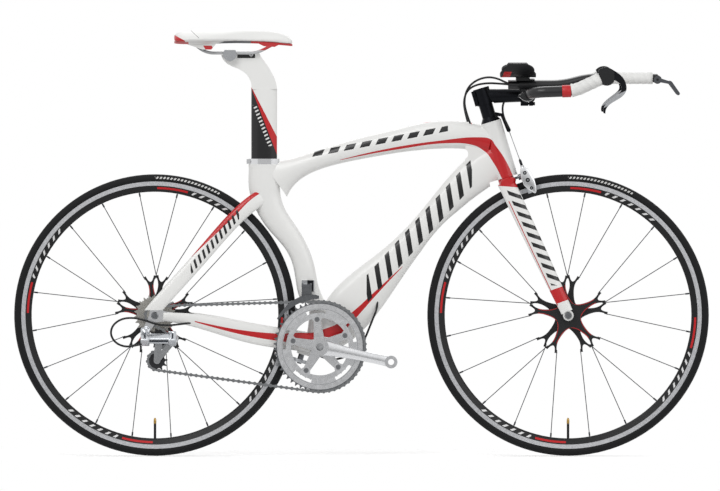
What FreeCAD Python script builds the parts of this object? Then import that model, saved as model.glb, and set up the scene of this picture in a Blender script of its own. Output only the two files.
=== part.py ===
import FreeCAD, Part
import math
import os

# A time trial bike in millimetres: +X forward, +Y to the rider's left, +Z up.
# The origin lies on the ground, midway between the two axles.

# Fits and clearances
RUN_FIT = 0.05          # radial play of a shaft in its bearing or bush
FIXED_FIT = 0.02        # gap of a piece that is pressed in
SIDE_GAP = 0.3          # end play between a moving piece and its neighbour
FREE_GAP = 2.0          # open room between pieces that only pass each other

# Points that shape one oval section
OVAL_POINTS = 12

# Wheels
WHEELBASE = 980.0
TYRE_RADIUS = 334.0
TYRE_SECTION = 22.0
TYRE_WALL = 1.8
RIM_RADIUS = 317.0
RIM_DEPTH = 24.5
RIM_WIDTH = 19.5
RIM_WALL = 1.6
BRAKE_TRACK = 10.0
TUBE_WALL = 0.9
VALVE_RADIUS = 3.0
VALVE_REACH = 34.0      # how far the valve stands inside the rim
SPOKE_RADIUS = 1.0
NIPPLE_RADIUS = 2.0
NIPPLE_LENGTH = 10.0
STAR_ARMS = 5
STAR_TIP_RADIUS = 94.0
STAR_TIP_SPREAD = 8.0   # half angle between the two tips of one arm
STAR_TIP_WIDTH = 7.2
STAR_TIP_LEAN = 22.0    # how far a tip leans away from its arm, in degrees
STAR_CROTCH_RADIUS = 80.0
STAR_NECK_RADIUS = 72.0
STAR_NECK_WIDTH = 12.4
STAR_ARM_RADIUS = 50.0
STAR_ARM_WIDTH = 14.0
STAR_HOLLOW_RADIUS = 31.0   # bottom of the hollow between two arms
STAR_THICKNESS = 6.0
HUB_SHELL_RADIUS = 15.0
AXLE_RADIUS = 8.0
AXLE_END_RADIUS = 4.5
FRONT_STAR_OFFSET = 30.0
FRONT_STAR_ANGLE = 28.0
FRONT_DROPOUT_GAP = 100.0
REAR_STAR_OFFSET = 30.0
REAR_DRIVE_STAR_OFFSET = 13.0
REAR_STAR_ANGLE = 25.4
REAR_DROPOUT_GAP = 130.0
DROPOUT_THICKNESS = 6.0
SKEWER_NUT_RADIUS = 9.0
SKEWER_NUT_LENGTH = 9.0
CAM_PIN_RADIUS = 3.0
CAM_PIN_OFFSET = 9.0    # cam pin beyond the outer face of the dropout
QR_LEVER_LENGTH = 52.0

# Steering line
HEAD_ANGLE = 73.3
FORK_RAKE = 44.0
CROWN_RACE = 355.0      # along the steering line from the foot of the rake
HEAD_TUBE_LENGTH = 137.0
HEAD_TUBE_RADIUS = 25.0
STEERER_RADIUS = 14.3
STEERER_WALL = 2.5
HEADSET_BEARING_RADIUS = 21.0
HEADSET_BEARING_HEIGHT = 9.0
HEADSET_COVER_HEIGHT = 12.0
SPACER_RADIUS = 16.5
SPACER_STACK = 31.0
STEM_CLAMP_HEIGHT = 40.0
STEM_CLAMP_RADIUS = 19.5
STEM_REACH = 104.0
STEM_BOLT_RISE = 19.5
CROWN_RADIUS = 23.5
CROWN_NECK = 13.0

# Frame tubes: wall, and the bottom bracket that they meet at
TUBE_SHELL = 4.0
BB_SET_BACK = 98.7
BB_HEIGHT = 260.0
BB_SHELL_RADIUS = 25.0
BB_SHELL_WIDTH = 68.0
BB_CUP_THICKNESS = 6.0
SPINDLE_RADIUS = 12.0
SPINDLE_WALL = 3.0
SPINDLE_SEAT = 4.0        # how deep the spindle sits in the left arm
SEAT_COLLAR_HEIGHT = 13.0
SEAT_COLLAR_WALL = 6.0
SEAT_COLLAR_BASE = 692.0
BOTTLE_BOSS_SPACING = 64.0
GUSSET_HALF = 15.0
GUSSET_CORNER_RADIUS = 13.0
BOTTLE_BOSS_RADIUS = 2.5
BOTTLE_BOSS_DEPTH = 12.0

# Seatpost and saddle
POST_X = -231.0
POST_CHORD = 61.0
POST_WIDTH = 25.0
POST_FOOT = 618.0
POST_SHOULDER = 872.0
POST_DROP = 10.0        # how far the post can go down from where it stands
CLAMP_X = -312.0
CLAMP_HEIGHT = 953.0
CLAMP_RADIUS = 16.0
RAIL_RADIUS = 3.5
RAIL_SPREAD = 22.0
RAIL_HEIGHT = 955.5

# Drive
CHAIN_PITCH = 12.7
ROLLER_RADIUS = 3.85
CHAIN_INNER_HALF = 1.25
CHAIN_PLATE = 0.75
CHAIN_PLATE_GAP = 0.15
CHAIN_PIN_RADIUS = 1.75
CHAIN_PLATE_RADIUS = 4.2
CHAIN_WAIST = 2.4         # half height of a plate between its two pins
COG_THICKNESS = 1.6
STRAIGHT_PITCHES = 2.5    # pitches that run level off a sprocket before the chain slants
RING_THICKNESS = 1.9
BIG_RING_TEETH = 53
SMALL_RING_TEETH = 39
BIG_RING_Y = -46.5
RING_SPACING = 6.0
BOLT_CIRCLE = 130.0
RING_BOLT_RADIUS = 4.0
RING_INNER_RADIUS = 68.0
CRESCENT_RADII = (80.0, 88.0)   # slots in the big ring outside its bolts
CRESCENT_HALF_ANGLE = 16.0
CRANK_LENGTH = 172.5
CRANK_ANGLE = -12.0
CRANK_INNER_Y = -58.0
CRANK_THICKNESS = 14.0
PEDAL_THREAD_RADIUS = 7.1
PEDAL_EYE_RADIUS = 15.0
COG_TEETH = (11, 12, 13, 14, 15, 16, 17, 19, 21, 23)
COG_SPACING = 3.95
FIRST_COG_Y = -59.5
FREEHUB_RADIUS = 16.5
PULLEY_TEETH = 11
PULLEY_HUB_RADIUS = 7.0

# Rear derailleur
HANGER_BOLT_BACK = 19.0   # behind the rear axle
HANGER_BOLT_DROP = 33.0   # below the rear axle
LINK_LENGTH = 56.0
LINK_SPACING = 14.0
LINK_HEIGHT = 18.0
LINK_THICKNESS = 5.0
LINK_PIN_RADIUS = 2.5
LINK_SLANT = 52.3         # pivot axis above the horizontal, in the cross plane
LINK_MID_Y = -86.5
CAGE_PIVOT_AHEAD = 10.0   # ahead of the lower knuckle's pins
CAGE_PIVOT_RADIUS = 4.0
GUIDE_BACK = 38.0         # guide pulley behind the cage pivot
CAGE_LENGTH = 53.0
CAGE_PLATE = 1.5
CAGE_HALF_GAP = 4.2
CAGE_ANGLE = -96.0        # nearest direction of the tension pulley from the guide pulley

# Brakes
BRAKE_REACH = 36.0
REAR_BRAKE_REACH = 48.0
BRAKE_PIVOT_SPREAD = 13.0
BRAKE_PIN_RADIUS = 3.0
BRAKE_ARM_THICKNESS = 8.0
BRAKE_ARM_RISE = 24.0
BRAKE_PLATE = 6.0
BRAKE_SPACER = 6.0
BRAKE_PAD_GAP = 2.0
BRAKE_PAD_LENGTH = 42.0
REAR_BRAKE_RADIUS = 360.0  # from the rear axle
REAR_BRAKE_ANGLE = -15.7

# Bars
BAR_HEIGHT = 855.0
BAR_CLAMP_RADIUS = 15.9
BAR_HALF_WIDTH = 200.0
BAR_ARM_RADIUS = 13.0
TAPE_THICKNESS = 3.2
EXTENSION_RADIUS = 11.1
EXTENSION_WALL = 1.6
EXTENSION_SPREAD = 55.0
EXTENSION_CLAMP_WALL = 3.5
PAD_SPREAD = 80.0
PAD_CUP_RADIUS = 46.0
PAD_CUP_WALL = 3.0
PAD_THICKNESS = 9.0
LEVER_THICKNESS = 11.0
BRACKET_WIDTH = 24.0
LEVER_PIN_RADIUS = 3.0
SHIFT_BOSS_RADIUS = 10.0
SHIFT_BODY_WIDTH = 20.0
SHIFT_LEVER_THICKNESS = 7.0

# Cables
HOUSING_RADIUS = 2.5
HOUSING_INSERT = 10.0     # of a shift housing in its extension's open end
WIRE_RADIUS = 0.9


def vec(x, y, z):
    return FreeCAD.Vector(x, y, z)


X_AXIS = vec(1, 0, 0)
Y_AXIS = vec(0, 1, 0)
Z_AXIS = vec(0, 0, 1)

REAR_AXLE = vec(-WHEELBASE / 2, 0, TYRE_RADIUS)
FRONT_AXLE = vec(WHEELBASE / 2, 0, TYRE_RADIUS)
BOTTOM_BRACKET = vec(-BB_SET_BACK, 0, BB_HEIGHT)

STEER_UP = vec(-math.cos(math.radians(HEAD_ANGLE)), 0, math.sin(math.radians(HEAD_ANGLE)))
STEER_AHEAD = vec(math.sin(math.radians(HEAD_ANGLE)), 0, math.cos(math.radians(HEAD_ANGLE)))
STEER_FOOT = FRONT_AXLE - STEER_AHEAD * FORK_RAKE
HEAD_TOP = CROWN_RACE + HEAD_TUBE_LENGTH
SPACER_TOP = HEAD_TOP + HEADSET_COVER_HEIGHT + SPACER_STACK
STEM_TOP = SPACER_TOP + STEM_CLAMP_HEIGHT


def on_steer_line(distance, ahead=0.0, y=0.0):
    return STEER_FOOT + STEER_UP * distance + STEER_AHEAD * ahead + Y_AXIS * y


BAR_CENTRE = vec(on_steer_line((SPACER_TOP + STEM_TOP) / 2).x + STEM_REACH, 0, BAR_HEIGHT)


# Shape helpers

def rod(start, end, radius):
    """A solid cylinder from one point to another."""
    line = end - start
    return Part.makeCylinder(radius, line.Length, start, line)


def pipe(start, end, radius, bore):
    return rod(start, end, radius).cut(rod(start, end, bore))


def fuse(shapes):
    """Several overlapping solids as one clean solid."""
    return shapes[0].multiFuse(shapes[1:]).removeSplitter()


def lathe(profile, centre):
    """A closed profile of (radius, y) points turned about the cross axis through a centre."""
    wire = Part.makePolygon([vec(r, y, 0) for r, y in profile + profile[:1]])
    solid = Part.Face(wire).revolve(vec(0, 0, 0), Y_AXIS, 360)
    solid.translate(centre)
    return solid


def plate(outline, y_low, y_high):
    """A flat plate of (x, z) corners between two cross positions."""
    wire = Part.makePolygon([vec(x, y_low, z) for x, z in outline + outline[:1]])
    return Part.Face(wire).extrude(vec(0, y_high - y_low, 0))


def smooth_edge(points):
    """A curve through all of its points."""
    curve = Part.BSplineCurve()
    curve.interpolate(points)
    return curve.toShape()


def curved_plate(first_edge, second_edge, y_low, y_high):
    """A plate between two smooth edges of (x, z) points that run the same way."""
    edges = []
    ends = []
    for points in (first_edge, second_edge):
        edges.append(smooth_edge([vec(x, y_low, z) for x, z in points]))
        ends.append((vec(points[0][0], y_low, points[0][1]), vec(points[-1][0], y_low, points[-1][1])))
    edges.append(Part.LineSegment(ends[0][0], ends[1][0]).toShape())
    edges.append(Part.LineSegment(ends[0][1], ends[1][1]).toShape())
    wire = Part.Wire(Part.__sortEdges__(edges))
    return Part.Face(wire).extrude(vec(0, y_high - y_low, 0))


def bar_plate(start, end, start_radius, end_radius, y_low, y_high):
    """A flat bar with round ends between two (x, z) points."""
    (x0, z0), (x1, z1) = start, end
    run = math.hypot(x1 - x0, z1 - z0)
    side_x = -(z1 - z0) / run
    side_z = (x1 - x0) / run
    corners = [(x0 + side_x * start_radius, z0 + side_z * start_radius),
               (x1 + side_x * end_radius, z1 + side_z * end_radius),
               (x1 - side_x * end_radius, z1 - side_z * end_radius),
               (x0 - side_x * start_radius, z0 - side_z * start_radius)]
    ends = [rod(vec(x, y_low, z), vec(x, y_high, z), radius)
            for x, z, radius in ((x0, z0, start_radius), (x1, z1, end_radius))]
    return fuse([plate(corners, y_low, y_high)] + ends)


def oval(centre, normal, first_axis, first_half, second_half):
    """An oval wire: first_half along first_axis, second_half square to it."""
    normal = vec(normal.x, normal.y, normal.z).normalize()
    first = first_axis - normal * first_axis.dot(normal)
    first.normalize()
    second = normal.cross(first)
    points = []
    for turn in ring_positions(OVAL_POINTS, 0.0):
        along = first * (first_half * math.cos(turn))
        points.append(centre + along + second * (second_half * math.sin(turn)))
    curve = Part.BSplineCurve()
    curve.interpolate(points, PeriodicFlag=True)
    return Part.Wire(curve.toShape())


def loft(wires):
    return Part.makeLoft(wires, True, False)


def frame_tube(stations, shrink=0.0):
    """A loft through (x, z, direction angle, depth, width) stations in the middle plane."""
    wires = []
    for x, z, angle, depth, width in stations:
        turn = math.radians(angle)
        along = vec(math.cos(turn), 0, math.sin(turn))
        wires.append(oval(vec(x, 0, z), along, Y_AXIS.cross(along), depth / 2 - shrink, width / 2 - shrink))
    return loft(wires)


def mirrored(shape):
    """The same shape on the other side of the middle plane."""
    return shape.mirror(vec(0, 0, 0), Y_AXIS)


def both_sides(shape):
    return Part.makeCompound([shape, mirrored(shape)])


def bent_path(points, label):
    """Straight runs joined by tangent arcs, each as large as its two runs allow."""
    edges = []
    start = points[0]
    radii = []
    for before, corner, after in zip(points, points[1:], points[2:]):
        incoming = (corner - before).normalize()
        outgoing = (after - corner).normalize()
        shorter = min((corner - before).Length, (after - corner).Length)
        setback = 0.45 * shorter
        half_turn = incoming.getAngle(outgoing) / 2
        radius = setback / math.tan(half_turn)
        radii.append(radius)
        arc_start = corner - incoming * setback
        arc_end = corner + outgoing * setback
        bisector = (outgoing - incoming).normalize()
        middle = corner + bisector * (radius / math.cos(half_turn) - radius)
        edges.append(Part.LineSegment(start, arc_start).toShape())
        edges.append(Part.Arc(arc_start, middle, arc_end).toShape())
        start = arc_end
    edges.append(Part.LineSegment(start, points[-1]).toShape())
    print(label, "bend radii", [round(r, 1) for r in radii])
    return Part.Wire(edges)


def swept_tube(points, radius, label):
    """A round tube along a bent path."""
    path = bent_path(points, label)
    first_run = points[1] - points[0]
    section = Part.Wire(Part.Circle(points[0], first_run, radius).toShape())
    tube = path.makePipeShell([section], True, False)
    print(label, "volume share", round(tube.Volume / (math.pi * radius ** 2 * path.Length), 4))
    return tube


def ring_positions(count, first_angle):
    """Angles in radians of a round pattern."""
    return [math.radians(first_angle + 360.0 * index / count) for index in range(count)]


# Sprockets and chain line

def pitch_radius(teeth):
    return CHAIN_PITCH / (2 * math.sin(math.pi / teeth))


VALLEY_RADIUS = ROLLER_RADIUS + SIDE_GAP
TOOTH_TOP = 2.6
TOOTH_TIP_HALF = 0.9
VALLEY_SPAN = math.radians(75)


def tooth_outline(teeth, phase):
    """The toothed edge of a sprocket as a wire at y = 0, with a valley at the phase angle."""
    radius = pitch_radius(teeth)
    step = 2 * math.pi / teeth

    def place(angle, out, sideways):
        return vec(math.cos(angle) * out - math.sin(angle) * sideways, 0,
                   math.sin(angle) * out + math.cos(angle) * sideways)

    dip = VALLEY_RADIUS * math.cos(VALLEY_SPAN)
    reach = VALLEY_RADIUS * math.sin(VALLEY_SPAN)
    edges = []
    for index in range(teeth):
        valley = phase + index * step
        tooth = valley + step / 2
        left = place(valley, radius - dip, -reach)
        right = place(valley, radius - dip, reach)
        edges.append(Part.Arc(left, place(valley, radius - VALLEY_RADIUS, 0), right).toShape())
        tip_start = place(tooth, radius + TOOTH_TOP, -TOOTH_TIP_HALF)
        tip_end = place(tooth, radius + TOOTH_TOP, TOOTH_TIP_HALF)
        following = place(valley + step, radius - dip, -reach)
        edges.append(Part.LineSegment(right, tip_start).toShape())
        edges.append(Part.LineSegment(tip_start, tip_end).toShape())
        edges.append(Part.LineSegment(tip_end, following).toShape())
    return Part.Wire(edges)


def sprocket_disc(teeth, phase, centre, thickness, y):
    disc = Part.Face(tooth_outline(teeth, phase)).extrude(vec(0, thickness, 0))
    disc.translate(vec(centre.x, y - thickness / 2, centre.z))
    return disc


LINK_AXIS = vec(0, math.cos(math.radians(LINK_SLANT)), math.sin(math.radians(LINK_SLANT)))
LINK_ACROSS = vec(0, math.sin(math.radians(LINK_SLANT)), -math.cos(math.radians(LINK_SLANT)))
HANGER_BOLT = REAR_AXLE - X_AXIS * HANGER_BOLT_BACK - Z_AXIS * HANGER_BOLT_DROP
UPPER_PINS = vec(HANGER_BOLT.x + 1, LINK_MID_Y, HANGER_BOLT.z - 21)
LOWER_PINS = UPPER_PINS + X_AXIS * LINK_LENGTH
CAGE_PIVOT = vec(LOWER_PINS.x + CAGE_PIVOT_AHEAD, FIRST_COG_Y, LOWER_PINS.z)
GUIDE_PULLEY = CAGE_PIVOT - X_AXIS * GUIDE_BACK


def tension_pulley_at(angle):
    turn = math.radians(angle)
    return GUIDE_PULLEY + vec(math.cos(turn), 0, math.sin(turn)) * CAGE_LENGTH


def chain_wheels(cage_angle):
    """The wheels that the chain runs over: centre, teeth, turning sense (1 clockwise), cross place."""
    return [(BOTTOM_BRACKET, BIG_RING_TEETH, 1, BIG_RING_Y),
            (tension_pulley_at(cage_angle), PULLEY_TEETH, 1, FIRST_COG_Y),
            (GUIDE_PULLEY, PULLEY_TEETH, -1, FIRST_COG_Y),
            (REAR_AXLE, COG_TEETH[0], 1, FIRST_COG_Y)]


def chain_spans(cage_angle):
    """Arcs and straight runs of the chain in order, each with its length in chain pitches."""
    wheels = chain_wheels(cage_angle)
    tangents = []
    for (c1, n1, s1, y1), (c2, n2, s2, y2) in zip(wheels, wheels[1:] + wheels[:1]):
        dx, dz = c2.x - c1.x, c2.z - c1.z
        reach = math.hypot(dx, dz)
        offset = (s1 * pitch_radius(n1) - s2 * pitch_radius(n2)) / reach
        heading = math.atan2(dz, dx) - math.asin(offset)
        tangents.append((heading, math.sqrt(reach ** 2 * (1 - offset ** 2))))
    spans = []
    for index, (centre, teeth, sense, y) in enumerate(wheels):
        arrive = tangents[index - 1][0] + sense * math.pi / 2
        leave, run = tangents[index]
        start_angle = arrive
        end_angle = leave + sense * math.pi / 2
        sweep = (sense * (start_angle - end_angle)) % (2 * math.pi)
        spans.append(("arc", index, start_angle, sweep * teeth / (2 * math.pi)))
        spans.append(("run", index, leave, run / CHAIN_PITCH))
    return wheels, spans


def chain_length(cage_angle):
    return sum(span[3] for span in chain_spans(cage_angle)[1])


def settle_cage():
    """The cage angle at which the chain is a whole, even number of links."""
    links = 2 * round(chain_length(CAGE_ANGLE) / 2)
    low, high = CAGE_ANGLE - 40, CAGE_ANGLE + 40
    rising = chain_length(high) > chain_length(low)
    for step in range(60):
        middle = (low + high) / 2
        if (chain_length(middle) < links) == rising:
            low = middle
        else:
            high = middle
    return middle, links


CAGE_REST, CHAIN_LINKS = settle_cage()
TENSION_PULLEY = tension_pulley_at(CAGE_REST)


def chain_pins():
    """Every pin of the chain in order, and the angle of one pin on each wheel."""
    wheels, spans = chain_spans(CAGE_REST)
    pins = []
    phases = {}
    start = 0.0
    for kind, index, angle, length in spans:
        centre, teeth, sense, y = wheels[index]
        following_y = wheels[(index + 1) % len(wheels)][3]
        radius = pitch_radius(teeth)
        while len(pins) < CHAIN_LINKS and len(pins) < start + length - 1e-6:
            along = len(pins) - start
            if kind == "arc":
                here = angle - sense * along * 2 * math.pi / teeth
                phases[index] = here
                pins.append(vec(centre.x + math.cos(here) * radius, y, centre.z + math.sin(here) * radius))
            else:
                foot = angle + sense * math.pi / 2
                go = along * CHAIN_PITCH
                share = (along - STRAIGHT_PITCHES) / max(length - 2 * STRAIGHT_PITCHES, 1.0)
                pins.append(vec(centre.x + math.cos(foot) * radius + math.cos(angle) * go,
                                y + (following_y - y) * min(max(share, 0.0), 1.0),
                                centre.z + math.sin(foot) * radius + math.sin(angle) * go))
        start += length
    return pins, phases


CHAIN_PINS, TOOTH_PHASES = chain_pins()


# Frame

BRAKE_UP = vec(math.sin(math.radians(-REAR_BRAKE_ANGLE)), 0, math.cos(math.radians(REAR_BRAKE_ANGLE)))
BRAKE_IN = vec(-math.cos(math.radians(REAR_BRAKE_ANGLE)), 0, -math.sin(math.radians(REAR_BRAKE_ANGLE)))
REAR_BRAKE = REAR_AXLE - BRAKE_IN * REAR_BRAKE_RADIUS
BRAKE_SHELF = 5.0         # the frame's brake shelf above the rear brake's middle

DOWN_TUBE_ANGLE = 48.0
DOWN_TUBE_DEPTH = 72.0
DOWN_TUBE_WIDTH = 40.0
DOWN_TUBE_MIDDLE = (91.3, 477.5)


def down_tube_stations(foot_ahead=12.0):
    x, z = DOWN_TUBE_MIDDLE
    slope = math.tan(math.radians(DOWN_TUBE_ANGLE))
    foot_x = BOTTOM_BRACKET.x + foot_ahead
    neck_x = 225.0
    return [(foot_x, z + (foot_x - x) * slope, DOWN_TUBE_ANGLE, DOWN_TUBE_DEPTH + 4, DOWN_TUBE_WIDTH + 12),
            (x, z, DOWN_TUBE_ANGLE, DOWN_TUBE_DEPTH, DOWN_TUBE_WIDTH),
            (neck_x, z + (neck_x - x) * slope, DOWN_TUBE_ANGLE - 2, DOWN_TUBE_DEPTH + 2, DOWN_TUBE_WIDTH),
            (285.0, 678.0, DOWN_TUBE_ANGLE - 13, DOWN_TUBE_DEPTH + 14, DOWN_TUBE_WIDTH),
            (331.0, 706.0, DOWN_TUBE_ANGLE - 23, DOWN_TUBE_DEPTH + 10, DOWN_TUBE_WIDTH)]


TOP_TUBE = [(-205.0, 655.0, 35.0, 98.0, 34.0),
            (-122.0, 694.5, 19.0, 45.0, 35.0),
            (-51.0, 717.0, 15.0, 46.0, 36.0),
            (91.0, 748.0, 9.5, 56.0, 38.0),
            (190.0, 762.0, 3.0, 66.0, 41.0),
            (255.0, 759.0, -9.0, 64.0, 44.0),
            (306.0, 747.0, -14.0, 60.0, 46.0)]

SEAT_TUBE = [(POST_X, SEAT_COLLAR_BASE, -90.0, 74.0, 39.0),
             (POST_X, 664.0, -90.0, 74.0, 39.0),
             (POST_X + 1, 632.0, -88.0, 73.0, 39.0),
             (-203.0, 563.0, -60.0, 60.0, 35.0),
             (-163.0, 509.5, -56.0, 51.0, 32.0),
             (-136.0, 445.0, -70.0, 50.0, 32.0),
             (-121.0, 380.0, -77.0, 51.0, 34.0),
             (-104.0, 285.0, -82.0, 54.0, 44.0)]


def post_section(z, growth):
    return oval(vec(POST_X, 0, z), Z_AXIS, X_AXIS, POST_CHORD / 2 + growth, POST_WIDTH / 2 + growth)


def head_tube_shell():
    return rod(on_steer_line(CROWN_RACE), on_steer_line(HEAD_TOP), HEAD_TUBE_RADIUS)


def brake_shelf():
    """The block behind the bottom bracket that carries the rear brake."""
    shelf = Part.makeBox(40, 40, 28, vec(-20, -20, 0))
    shelf.rotate(vec(0, 0, 0), Y_AXIS, -REAR_BRAKE_ANGLE)
    shelf.translate(REAR_BRAKE + BRAKE_UP * BRAKE_SHELF - BRAKE_IN * 8)
    return shelf


def boss_points():
    """Two bottle bosses on the upper face of the down tube."""
    turn = math.radians(DOWN_TUBE_ANGLE)
    along = vec(math.cos(turn), 0, math.sin(turn))
    up = vec(-math.sin(turn), 0, math.cos(turn))
    x, z = DOWN_TUBE_MIDDLE
    middle = vec(x, 0, z) - along * 65 + up * (DOWN_TUBE_DEPTH / 2)
    return [(middle + along * half, up) for half in (-BOTTLE_BOSS_SPACING / 2, BOTTLE_BOSS_SPACING / 2)]


def head_gusset():
    """Web that rounds off the corner between the top and down tubes behind the head tube."""
    web = plate([(246.0, 690.0), (302.0, 712.0), (302.0, 737.0), (246.0, 737.0)], -GUSSET_HALF, GUSSET_HALF)
    corner = vec(240.0, 0, 716.0)
    return web.cut(rod(corner - Y_AXIS * 40, corner + Y_AXIS * 40, GUSSET_CORNER_RADIUS))


def main_frame():
    """Hollow aero frame: head, top, down and seat tubes and the bottom bracket shell."""
    half = BB_SHELL_WIDTH / 2
    shell = rod(BOTTOM_BRACKET - Y_AXIS * half, BOTTOM_BRACKET + Y_AXIS * half, BB_SHELL_RADIUS)
    tubes = [down_tube_stations(), TOP_TUBE, SEAT_TUBE]
    bosses = [rod(point - up * TUBE_SHELL, point + up * 1.5, BOTTLE_BOSS_RADIUS + 3)
              for point, up in boss_points()]
    solids = [head_tube_shell(), shell, brake_shelf(), head_gusset()] + [frame_tube(tube) for tube in tubes]
    body = fuse(solids + bosses)
    hollows = [frame_tube(down_tube_stations(60.0)[:3], TUBE_SHELL), frame_tube(TOP_TUBE[1:5], TUBE_SHELL),
               frame_tube(SEAT_TUBE[3:7], TUBE_SHELL)]
    head_bore = rod(on_steer_line(CROWN_RACE - 1), on_steer_line(HEAD_TOP + 1), STEERER_RADIUS + FREE_GAP)
    seats = [rod(on_steer_line(low), on_steer_line(low + HEADSET_BEARING_HEIGHT), HEADSET_BEARING_RADIUS)
             for low in (CROWN_RACE, HEAD_TOP - HEADSET_BEARING_HEIGHT)]
    bb_reach = Y_AXIS * (half + 1)
    bb_bore = rod(BOTTOM_BRACKET - bb_reach, BOTTOM_BRACKET + bb_reach, BB_SHELL_RADIUS - 4)
    pocket = loft([post_section(z, 0.4) for z in (POST_FOOT - POST_DROP - FREE_GAP, SEAT_COLLAR_BASE + 1)])
    crown_room = rod(on_steer_line(CROWN_RACE - 60), on_steer_line(CROWN_RACE), CROWN_RADIUS + 22)
    threads = [rod(point - up * (BOTTLE_BOSS_DEPTH + 1), point + up * 2, BOTTLE_BOSS_RADIUS)
               for point, up in boss_points()]
    bolt = rod(REAR_BRAKE, REAR_BRAKE + BRAKE_UP * 30, BRAKE_PIN_RADIUS)
    over_collar = loft([collar_section(z, -SIDE_GAP) for z in (SEAT_COLLAR_BASE, SEAT_COLLAR_BASE + 60)])
    return body.cut(hollows + [head_bore, bb_bore, pocket, crown_room, bolt, over_collar] + seats + threads)


def collar_section(z, shrink):
    return oval(vec(POST_X, 0, z), Z_AXIS, X_AXIS, POST_CHORD / 2 + SEAT_COLLAR_WALL - shrink,
                POST_WIDTH / 2 + SEAT_COLLAR_WALL - shrink)


def seat_collar():
    """The clamp ring on top of the seat tube, with its bolt at the back."""
    top = SEAT_COLLAR_BASE + SEAT_COLLAR_HEIGHT
    ring = loft([collar_section(SEAT_COLLAR_BASE, 0), collar_section(top, 0)])
    back = POST_X - POST_CHORD / 2 - SEAT_COLLAR_WALL
    lug = Part.makeBox(9, 18, SEAT_COLLAR_HEIGHT - 2, vec(back - 5, -9, SEAT_COLLAR_BASE + 1))
    opening = loft([post_section(z, RUN_FIT) for z in (SEAT_COLLAR_BASE - 1, top + 1)])
    slot = Part.makeBox(30, 2, SEAT_COLLAR_HEIGHT + 2, vec(back - 10, -1, SEAT_COLLAR_BASE - 1))
    bolt_z = SEAT_COLLAR_BASE + SEAT_COLLAR_HEIGHT / 2
    bolt = rod(vec(back - 1.5, -12, bolt_z), vec(back - 1.5, 12, bolt_z), 2.5)
    return fuse([ring, lug]).cut([opening, slot]).fuse(bolt)


SEAT_STAY = [(-232.0, 10.0, 617.0, 36.0, 13.0),
             (-278.0, 24.0, 584.0, 36.0, 13.0),
             (-336.0, 32.0, 524.0, 35.0, 12.0),
             (-430.0, 57.0, 417.0, 34.0, 11.0),
             (-506.0, 76.0, 331.0, 33.0, 9.0)]
STAY_FOOT_RISE = 13.0     # level foot of the seat stay above the rear axle
CHAIN_STAY = [(-108.0, 22.0, 264.0, 46.0, 20.0),
              (-205.0, 28.0, 281.0, 48.0, 14.0),
              (-288.0, 39.0, 297.0, 45.0, 13.0),
              (-383.0, 59.0, 320.0, 33.0, 12.0),
              (-440.0, 71.0, 329.0, 24.0, 9.0),
              (-470.0, 73.0, 331.5, 20.0, 9.0)]


def stay(stations):
    """One stay on the left: a loft through (x, y, z, depth, width) stations."""
    points = [vec(x, y, z) for x, y, z, depth, width in stations]
    wires = []
    for index, (x, y, z, depth, width) in enumerate(stations):
        ahead = points[min(index + 1, len(points) - 1)] - points[max(index - 1, 0)]
        across = Y_AXIS.cross(ahead)
        wires.append(oval(points[index], ahead, across, depth / 2, width / 2))
    return loft(wires)


def rear_stays(front):
    """Seat stays and chain stays, bonded to the main frame."""
    sides = []
    below_foot = Part.makeBox(200, 200, 100, REAR_AXLE + vec(-100, 0, STAY_FOOT_RISE - 100))
    for shape in (stay(SEAT_STAY).cut(below_foot), stay(CHAIN_STAY)):
        sides += [shape, mirrored(shape)]
    half = REAR_DROPOUT_GAP / 2
    cuts = [front, frame_tube(SEAT_TUBE), rod(BOTTOM_BRACKET - Y_AXIS * 60, BOTTOM_BRACKET + Y_AXIS * 60,
                                             BB_SHELL_RADIUS)]
    cuts += [dropout_blank(side) for side in (1, -1)]
    wheel_room = rod(REAR_AXLE - Y_AXIS * 17, REAR_AXLE + Y_AXIS * 17, TYRE_RADIUS + 5)
    hub_room = rod(REAR_AXLE - Y_AXIS * half, REAR_AXLE + Y_AXIS * half, 60)
    pieces = [side.cut(cuts + [wheel_room, hub_room]) for side in sides]
    largest = [max(piece.Solids, key=lambda solid: solid.Volume) for piece in pieces]
    return Part.makeCompound(largest)


DROPOUT_OUTLINE = [(-14.0, -9.0), (-12.0, 10.0), (-8.0, 24.0), (6.0, 34.0), (17.0, 30.0), (15.0, 14.0),
                   (26.0, 10.0), (42.0, 8.0), (42.0, -12.0), (20.0, -14.0), (4.0, -16.0)]


def dropout_blank(side):
    """The outline of one rear dropout plate; side is 1 on the left and -1 on the right."""
    outline = [(REAR_AXLE.x + x, REAR_AXLE.z + z) for x, z in DROPOUT_OUTLINE]
    inner = side * REAR_DROPOUT_GAP / 2
    return plate(outline, inner, inner + side * DROPOUT_THICKNESS)


def rear_dropouts():
    """Two alloy dropout plates; the right one carries the derailleur hanger."""
    inner = -REAR_DROPOUT_GAP / 2
    outer = inner - DROPOUT_THICKNESS
    hanger = bar_plate((REAR_AXLE.x - 4, REAR_AXLE.z - 6), (HANGER_BOLT.x, HANGER_BOLT.z), 11.0, 9.0,
                       inner, outer)
    bolt_hole = rod(HANGER_BOLT - Y_AXIS * 200, HANGER_BOLT, 5.0)
    axle_hole = rod(REAR_AXLE - Y_AXIS * 100, REAR_AXLE + Y_AXIS * 100, AXLE_END_RADIUS)
    right = fuse([dropout_blank(-1), hanger]).cut([bolt_hole, axle_hole])
    return Part.makeCompound([dropout_blank(1).cut(axle_hole), right])


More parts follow.
